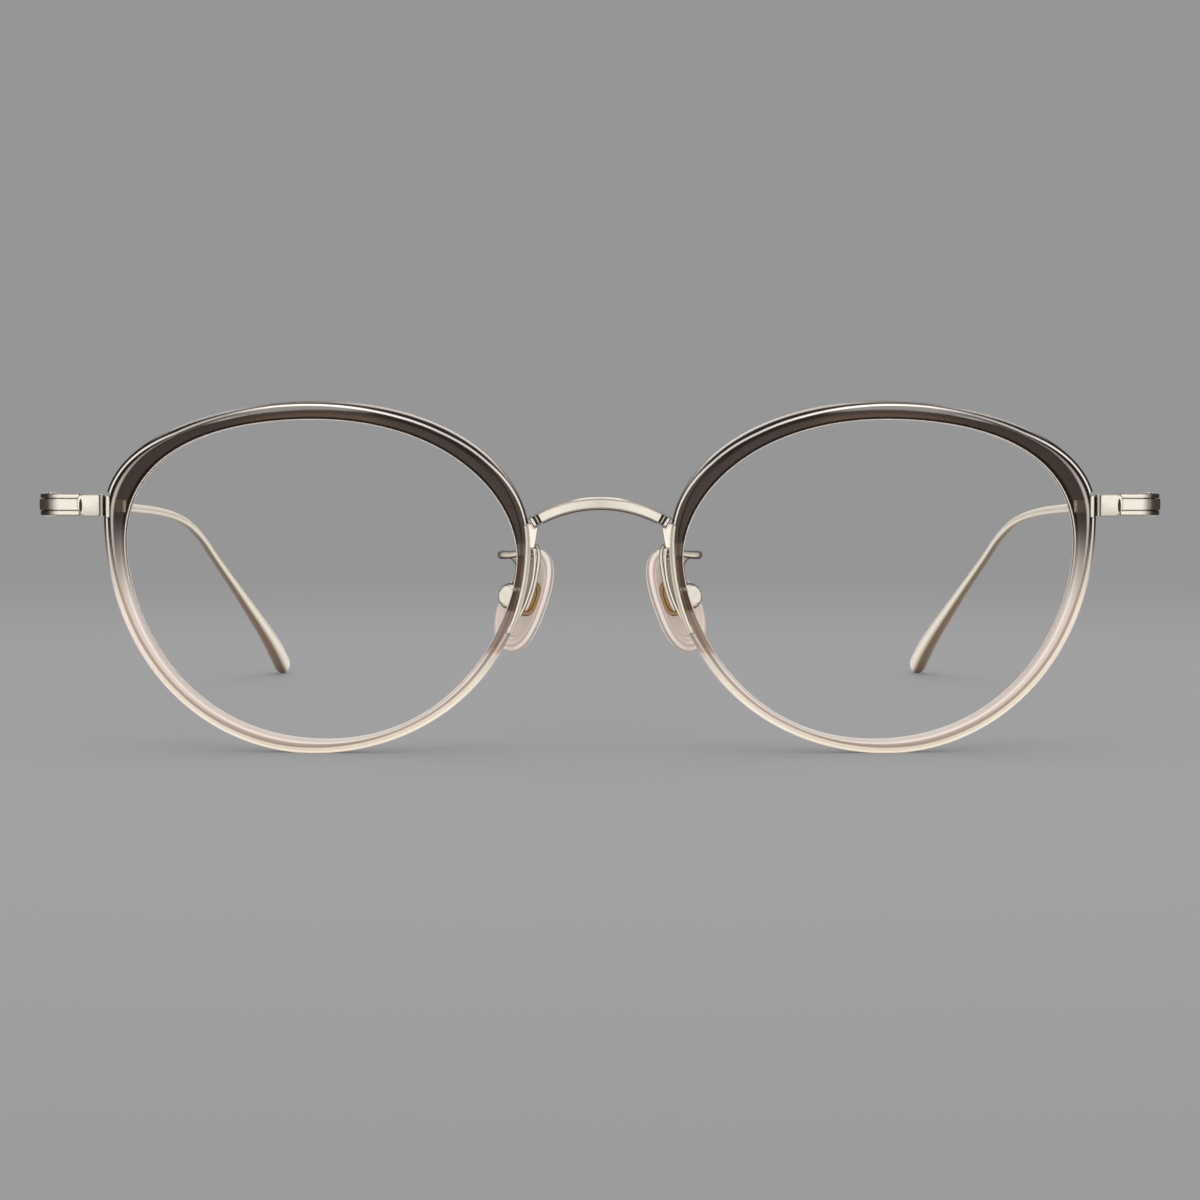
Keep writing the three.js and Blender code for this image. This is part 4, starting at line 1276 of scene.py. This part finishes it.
def slotted_head(radius, under, top):
    """Turned head with a straight slot: rings of a disc whose height drops by the slot's depth wherever a
    point lies within the slot's half width of the middle line."""
    turn = full_turn(HEAD_SIDES)
    share = np.concatenate([np.linspace(0.01, 0.86, 40), [0.93, 0.98, 1.0]])[::-1, None]
    drop = np.concatenate([np.zeros(40), [0.015, 0.05, 0.1]])[::-1, None]
    x, y = radius * share * np.cos(turn), radius * share * np.sin(turn)
    in_slot = climb(np.abs(x), HEAD_SLOT, -0.02)
    face = np.stack([x, y, top - drop - HEAD_SLOT_DEEP * in_slot], -1)
    below = turned([(radius * 0.5, under), (radius, under)], HEAD_SIDES)
    # The slot's mark paints it dark, as shade.
    marks = np.concatenate([np.zeros((2, HEAD_SIDES)), in_slot])
    return skin(np.concatenate([below, face]), marks)


def pad_screw_shell():
    """Turned shank with a chamfered end, and a slotted head on it, along the screw's own axis."""
    low, high = SCREW_ENDS
    shank = skin(turned([(SCREW_RADIUS - 0.1, low), (SCREW_RADIUS, low + 0.1), (SCREW_RADIUS, 1.4)]))
    head = slotted_head(SCREW_HEAD, 1.3, high)
    points, faces, marks = together(shank, head)
    return about_screw(points, SCREW_AXES), faces, marks


lay_pair("pad_cup", cup_shell(), cup_metal, "front", ["pad_box"])
lay_pair("slotted_pad_screw", pad_screw_shell(), screw_metal, "front", ["pad_screw"])

# %% [markdown]
# At the temple a small lug is let into the rim, with a tang that goes into the plastic and shows through
# it. A neck joins it to the endpiece at the bottom of a narrow slot. The neck is soldered, and it is painted
# dark all over as the shade at the bottom of the slot.

# %% End lugs
def slab(x, y, z, edge, outline_shade=0.0):
    """Block between limits on each axis, with rounded edges."""
    return plate([(x[0], z[0]), (x[1], z[0]), (x[1], z[1]), (x[0], z[1])], *y, edge, edge, outline_shade)


def lug_shell():
    """A wing on the rim's seat and a tang into the plastic, each a block with rounded edges."""
    wing = slab((-62.55, -62.05), (5.5, 8.0), LUG_Z, 0.08, 0.6)
    tang = slab((-62.5, -60.45), (6.4, 7.1), (30.2, 31.85), 0.08)
    return together(wing, tang)


lay_pair("rim_lug", lug_shell(), champagne, "front", ["end_lug"])
# A mark of 1 paints the neck dark all over, as shade.
neck = marked(slab((-63.1, -62.45), (6.9, 7.9), (29.8, 32.3), 0.05), 1.0)
lay_pair("painted_shade_neck", neck, champagne, "front", [])

# %% [markdown]
# The hinge has three knuckles: the outer two belong to the endpiece and the middle one to the temple. A
# knuckle is a tube with rounded rims. Painted shade darkens the metal around it towards the outer end, where
# the rounded metal turns away from the light.

# %% Hinge knuckles
BORE = 0.52
SHADE_UNTIL = -68.5
SHADE_LONG = 1.6


def hinge_end_shade(x):
    """Painted shade at the hinge's outer end, fading along X by a smooth step."""
    return 0.97 * eased(climb(x, SHADE_UNTIL, -SHADE_LONG))


def barrel(low, high, radius, soft):
    """Hinge knuckle: a tube about the hinge line with rounded rims, as a closed section turned about it."""
    section = rounded(np.array([(BORE, low), (radius, low), (radius, high), (BORE, high)]), soft)
    turn = full_turn(96)[:, None]
    x = HINGE[0] + section[:, 0] * np.cos(turn)
    y = HINGE[1] + section[:, 0] * np.sin(turn)
    return skin(np.stack([x, y, section[:, 1] + 0 * turn], -1), hinge_end_shade(x), closed=True)


print("hinge bore", 2 * BORE, "mm wide")

# %% [markdown]
# The endpiece is a block, then a bar with three raised bands that ends in the two outer knuckles. The bar
# is one section, with a fine groove between the bands, carried along its length. Its middle band is
# hollowed at the end to clear the temple's knuckle.

# %% Banded bars
END_Z = (29.9, 32.65)
BANDS_Z = (30.53, 32.05)
BAND_LINE = 0.15
GROOVE_DEEP = 0.35
BAR_FRONT = 6.2
BAR_FROM = -66.05
BARREL_RADIUS = 1.3
HINGE_GAP = 0.12


def bar_shell():
    """Bar along X: its section has a groove at each line between the bands, front and back, so that the
    middle band can end short of the temple's knuckle while the outer two run on into their own. A corner is
    its depth, its height and its rounding."""
    low, high = END_Z
    thick = HINGE[1] - HINGE_GAP - BAR_FRONT
    half = BAND_LINE / 2
    corners = [(0.0, low, 0.2)]
    for line in BANDS_Z:
        corners += [(0.0, line - half, 0.07), (GROOVE_DEEP, line - half, 0.02)]
        corners += [(GROOVE_DEEP, line + half, 0.02), (0.0, line + half, 0.07)]
    corners += [(0.0, high, 0.2), (thick, high, 0.16)]
    for line in BANDS_Z[::-1]:
        corners += [(thick, line + half / 2, 0.01), (thick, line - half / 2, 0.01)]
    corners = np.array(corners + [(thick, low, 0.16)])
    section = rounded(corners[:, :2], corners[:, 2])
    clear = BARREL_RADIUS + HINGE_GAP / 2
    end = HINGE[0] + np.sqrt(clear ** 2 - (BARREL_RADIUS - np.clip(section[:, 0], 0.0, BARREL_RADIUS)) ** 2)
    middle = (section[:, 1] > BANDS_Z[0]) & (section[:, 1] < BANDS_Z[1])
    x = np.linspace(BAR_FROM, HINGE[0], 120)[:, None]
    x = np.where(middle, np.maximum(x, end), x)
    # Marks paint shade into the grooves, along the top and bottom edges and at the hinge end.
    groove = (section[:, 0] > 0.08) & (section[:, 0] < GROOVE_DEEP + 0.05)
    rim = climb(np.minimum(high - section[:, 1], section[:, 1] - low), 0.13, -0.06)
    marks = np.maximum(np.maximum(0.5 * groove, 0.75 * rim), hinge_end_shade(x))
    return skin(np.stack([x, BAR_FRONT + section[:, 0] + 0 * x, section[:, 1] + 0 * x], -1), marks)


print("bar from", BAR_FROM, "mm to the hinge at", round(float(HINGE[0]), 2), "mm")

# %% [markdown]
# The block joins the bar to the lug. It has a round shoulder with a leaf-shaped scoop in it. The scoop is
# half an ellipsoid taken out of the face, which needs no cutting: the face's rings just lie deeper there.

# %% Blocks with a scoop
BLOCK_EDGE = 0.12
BLOCK_Y = (6.05, 8.15)
BLOCK_LINE = [
    (-63.38, 29.8), (-63.38, 32.55), (-65.6, 32.55), (-66.15, 32.4), (-66.3, 31.6), (-66.2, 30.8),
    (-65.85, 30.15), (-65.45, 29.8),
]
SCOOP_AT = (-65.8, 31.15)
SCOOP_HALF = (0.19, 0.85)
SCOOP_DEEP = 0.4
SHADE_BELOW = 31.2
SHADE_OVER = 1.3


def block_shell():
    """Block with a rounded shoulder: rings of its outline drawn in towards its middle make the face, which
    dips by an ellipse's half height inside the scoop, and one more ring at the back makes the sides."""
    line = rounded(np.array(BLOCK_LINE), 0.22)
    middle = line.mean(axis=0)
    share = np.linspace(0.02, 1.0, 60)[:, None, None]
    flat = middle + share * (line - middle)
    away = np.min(np.abs(1 - share), axis=2) * 1.2
    round_off = BLOCK_EDGE * (1 - np.sqrt(1 - np.clip(1 - away / BLOCK_EDGE, 0.0, 1.0) ** 2))
    leaf = 1 - np.sum(((flat - SCOOP_AT) / SCOOP_HALF) ** 2, axis=-1)
    depth = BLOCK_Y[0] + round_off + SCOOP_DEEP * np.sqrt(np.clip(leaf, 0.0, None))
    # Painted shade: darker below a height, dark in the scoop and along the rounded edge.
    painted_shade = 0.32 * climb(flat[..., 1], SHADE_BELOW, -SHADE_OVER)
    outline_shade = 0.75 * np.clip(1.4 * (1 - away / BLOCK_EDGE), 0.0, 1.0)
    marks = np.maximum(np.maximum(0.9 * np.clip(4 * leaf, 0.0, 1.0), painted_shade), outline_shade)
    rings = np.concatenate([upright(flat, depth), upright(line, BLOCK_Y[1])[None]])
    return skin(rings, np.concatenate([marks, np.zeros((1, len(line)))]))


print("block", round(BLOCK_Y[1] - BLOCK_Y[0], 2), "mm deep")

# %% [markdown]
# Together, bar, knuckles and block are one endpiece. A fine line of shade shows before the block's inner
# end, so a slightly smaller core, painted dark, lies between the two.

# %% Endpieces
def endpiece_shell():
    """Bar, two knuckles, block, the core painted dark that shows as a fine line of shade, and the block's
    inner end, a little darker.
    """
    low, high = END_Z
    outer = BARREL_RADIUS - 0.12
    knuckles = [barrel(low, BANDS_Z[0], outer, 0.2), barrel(BANDS_Z[1], high, outer, 0.2)]
    # Core and inner end are painted with shade by their marks.
    core = marked(slab((-63.45, -63.2), (6.25, BLOCK_Y[1] - 0.1), (low + 0.05, high - 0.25), 0.02), 0.8)
    end = marked(slab((-63.28, -63.02), BLOCK_Y, (low - 0.1, high - 0.1), 0.06), 0.2)
    return together(bar_shell(), *knuckles, block_shell(), core, end)


lay_pair("banded_endpiece", endpiece_shell(), champagne, "front", ["endpiece"])

# %% [markdown]
# The hinge screw shows as a low slotted head above the barrel and a riveted end below it. Both are profiles
# turned about the hinge line, as the real screw is turned on a lathe.

# %% Hinge screws
HINGE_HEAD = 0.72
HEAD_HIGH = 0.16
SHANK_RADIUS = 0.46


def hinge_screw_shell():
    """Slotted head, riveted end and shank, each a profile turned about the hinge line."""
    low, high = END_Z
    head = slotted_head(HINGE_HEAD, high, high + HEAD_HIGH)
    foot = [(0.02, low - HEAD_HIGH), (0.5, low - 0.14), (0.66, low - 0.09), (HINGE_HEAD, low), (0.3, low)]
    shank = [(SHANK_RADIUS, low - 0.01), (SHANK_RADIUS, high + 0.01)]
    points, faces, marks = together(head, skin(turned(foot)), skin(turned(shank)))
    return points + (HINGE[0], HINGE[1], 0.0), faces, marks


lay_pair("slotted_hinge_screw", hinge_screw_shell(), screw_metal, "front", ["hinge_screw"])

# %% [markdown]
# Each temple is one piece of metal: a flat bar at the hinge that thins into a round wire, bends down behind
# the ear and swells into a rounded paddle. The section is a superellipse whose height, width and squareness
# change along a smooth line. The middle knuckle of the hinge and its tongue belong to it.

# %% Temples
TEMPLE_LINE = [
    (-70.61, 9.1, 31.28), (-70.1, 16, 31.1), (-68.65, 35, 30.4), (-66.7, 61, 29.4), (-65.35, 78, 28.45),
    (-64.3, 89, 27.4), (-63.3, 97, 25.95), (-62.1, 103.5, 23.6), (-60.8, 109.7, 20.3), (-57.6, 122.3, 13.0),
    (-54.35, 133.0, 5.65), (-52.75, 140.4, 0.55),
]
BAR_SIZE = (2.75, 1.18)
WIRE_SIZE = (1.3, 1.3)
TIP_SIZE = (3.2, 2.7)
BAR_UNTIL = 0.06
WIRE_FROM = 0.24
WIRE_UNTIL = 0.69
TIP_FULL = 0.955
TIP_ROUND = 2.4
KNUCKLE_GAP = 0.04
TONGUE_LONG = 0.4


def temple_shell():
    """Squared ring at each share of the line, sized from bar to wire by a smooth step and from wire to tip by
    the square of a share. A circle's quarter rounds the end. Gives the surface and the line's length."""
    _, long = smooth_line(TEMPLE_LINE, np.array([0.0]))
    round_share = TIP_ROUND / long
    turn = np.linspace(0.0, np.pi / 2, 24)
    even = np.linspace(0.0, 1 - round_share, 420)[:-1]
    shares = np.concatenate([even, 1 - round_share * (1 - np.sin(turn))])
    line, _ = smooth_line(TEMPLE_LINE, shares)
    thin = eased(climb(shares, BAR_UNTIL, WIRE_FROM - BAR_UNTIL))
    tip = climb(shares, WIRE_UNTIL, TIP_FULL - WIRE_UNTIL) ** 2
    ending = np.sqrt(np.clip(1 - (1 - np.minimum((1 - shares) / round_share, 1.0)) ** 2, 0.0006, 1.0))
    sizes = np.array([BAR_SIZE, WIRE_SIZE, TIP_SIZE])
    size = sizes[0] + (sizes[1] - sizes[0]) * thin[:, None] + (sizes[2] - sizes[1]) * tip[:, None]
    high, wide = (size * ending[:, None] / 2).T
    ahead = unit(np.gradient(line, axis=0))
    side = unit(np.cross(ahead, (0.0, 0.0, 1.0)))
    up = np.cross(side, ahead)
    x, y = squared_round(64, (8 - 6 * thin)[:, None])
    ring = (wide[:, None] * x)[..., None] * side[:, None] + (high[:, None] * y)[..., None] * up[:, None]
    knuckle_z = (BANDS_Z[0] + KNUCKLE_GAP, BANDS_Z[1] - KNUCKLE_GAP)
    tongue_x = (HINGE[0] - BARREL_RADIUS, HINGE[0] - HINGE_GAP)
    tongue = slab(tongue_x, (HINGE[1], TEMPLE_LINE[0][1] + TONGUE_LONG), knuckle_z, 0.08)
    return together(skin(line[:, None] + ring), barrel(*knuckle_z, BARREL_RADIUS, 0.14), tongue), long


shell, long = temple_shell()
lay_pair("wire_temple", shell, wire_metal, "temple_{side}", ["temple"])
print("temple along its curve", round(long, 1), "mm, its lowest point", round(float(shell[0][:, 2].min()), 2))

# %% [markdown]
# The small pins that hold the nose strip lie inside the plastic. Their plain solids are right as they are
# and only take the metal finish.

# %% Pins inside the rims
pins = [node for name, node in frame["nodes"].items() if name.startswith("bracket_pin")]
for pin in pins:
    pin.data.materials.clear()
    pin.data.materials.append(screw_metal)
print(len(pins), "pins in", screw_metal.name)

# %% [markdown]
# The glasses stand on a plain floor that runs out to the horizon in the colour of the room, so that no edge
# shows. Near the glasses the floor is lit like any surface and keeps their soft shadow. Further out it
# fades into the plain background colour, which clear plastic sees as well. Satin metal needs both light and
# dark things to mirror, or it looks flat. So for mirrored rays the floor is pale close to the glasses, white
# in front of them and dark to the sides.

# %% Floor
BACKDROP = shade(150, 150, 151)
TABLE = shade(205, 202, 198)
UNLIT = shade(66, 63, 60)
SWEEP_LIGHT = 0.8
FLOOR_RADIUS = 12.0
FLOOR_SIDES = 64


def ray_kind(tree, name):
    """1 for rays of one kind, such as those that come from the camera or from a mirror."""
    return tree.node("ShaderNodeLightPath", {}, {}, name)


def seen_directly(tree):
    """1 for rays from the camera, and for those that go on through clear plastic."""
    return ray_kind(tree, "Is Camera Ray") + ray_kind(tree, "Is Transmission Ray")


def floor_finish():
    """Lit floor that fades into the background's colour with the distance from the middle, and that mirrored
    rays see as a pale table, a dark surround and a white sweep in front."""
    tree = Tree(bpy.data.materials.new("plain_floor"))
    place = tree.node("ShaderNodeTexCoord", {}, {}, "Object")
    away = tree.node("ShaderNodeVectorMath", {"operation": "LENGTH"}, {0: place}, "Value")
    far = tree.ease(away, 0.12, 0.45)
    direct = seen_directly(tree)
    mirrored = ray_kind(tree, "Is Glossy Ray")
    distant = mirrored * tree.ease(away, 0.12, 0.3)
    table = tree.blend(distant, tree.blend(direct, TABLE, BACKDROP), UNLIT)
    lit = tree.node("ShaderNodeBsdfDiffuse", {}, {"Color": table})
    surface = tree.mix((0.3 + 0.7 * far) * direct, lit, tree.even("Emission", BACKDROP))
    in_front = tree.ease(tree.axis("Object", "Y"), -0.12, -0.3)
    sweep = tree.between(tree.axis("Object", "X"), -0.65, 0.65) * in_front * mirrored
    return tree.done(tree.mix(sweep, surface, tree.even("Emission", grey(255), SWEEP_LIGHT)))


def lay_floor():
    """Wide flat disc."""
    turn = full_turn(FLOOR_SIDES)
    rim = np.stack([FLOOR_RADIUS * np.cos(turn), FLOOR_RADIUS * np.sin(turn), 0 * turn], -1)
    mesh = bpy.data.meshes.new("floor")
    mesh.from_pydata(rim.tolist(), [], [list(range(FLOOR_SIDES))])
    mesh.materials.append(floor_finish())
    floor = bpy.data.objects.new("floor", mesh)
    bpy.context.scene.collection.objects.link(floor)


lay_floor()
print("floor", 2 * FLOOR_RADIUS, "m wide")

# %% [markdown]
# The room has the same plain colour wherever it is seen directly, and gives matt surfaces a soft white
# light. In the metal it is dark, except behind the glasses, so that rounded edges show a dark line beside a
# light one.

# %% Room
ROOM_LIGHT = 0.7


def light_room():
    """Plain colour where it is seen directly, soft light for matt surfaces, and for mirrors a dark room that
    turns to the plain colour behind the glasses."""
    tree = Tree(bpy.data.worlds.new("room"))
    behind = tree.ease(tree.axis("Generated", "Y"), -0.1, 0.6)
    mirrored = ray_kind(tree, "Is Glossy Ray")
    soft = tree.even("Background", grey(255), ROOM_LIGHT)
    room = tree.mix(mirrored, soft, tree.even("Background", UNLIT))
    room = tree.mix(seen_directly(tree) + mirrored * behind, room, tree.even("Background", BACKDROP))
    bpy.context.scene.world = tree.done(room, "World")


light_room()
print("room in", np.round(BACKDROP[:3], 3))

# %% [markdown]
# Soft boxes light the glasses as in a studio: a key light behind the camera that the metal mirrors, a wide
# fill above it that is kept out of the mirrors, one overhead, and one high behind for the bright line along
# the brow.

# %% Soft boxes
KEY_SIZE = 1.2


def softbox(name, place, aim, size, power, mirrored=True):
    """Area light at a place, tilted from straight down and turned until it looks at its aim."""
    data = bpy.data.lights.new(name, "AREA")
    data.shape = "RECTANGLE"
    data.size, data.size_y = size
    data.energy = power
    lamp = bpy.data.objects.new(name, data)
    lamp.visible_glossy = mirrored
    lamp.location = place
    away = np.array(aim) - np.array(place)
    level = np.hypot(away[0], away[1])
    lamp.rotation_euler = (np.arctan2(level, -away[2]), 0.0, np.arctan2(-away[0], away[1]))
    bpy.context.scene.collection.objects.link(lamp)
    print(name, "at", place)


softbox("key_box", (0.0, -1.6, 0.62), (0.0, -0.06, 0.1), (KEY_SIZE, KEY_SIZE), np.pi * KEY_SIZE ** 2)
softbox("fill_box", (0.0, -1.7, 0.8), (0.0, -0.06, 0.1), (3.2, 1.4), 21.0, mirrored=False)
softbox("top_box", (0.0, -0.1, 1.3), (0.0, -0.05, 0.0), (1.6, 1.0), 6.0)
softbox("brow_box", (0.0, 1.3, 1.0), (0.0, -0.06, 0.03), (1.8, 0.4), 4.0)

# %% [markdown]
# Colours are shown as they are, with no film look.

# %% Finish
bpy.context.scene.view_settings.view_transform = "Standard"
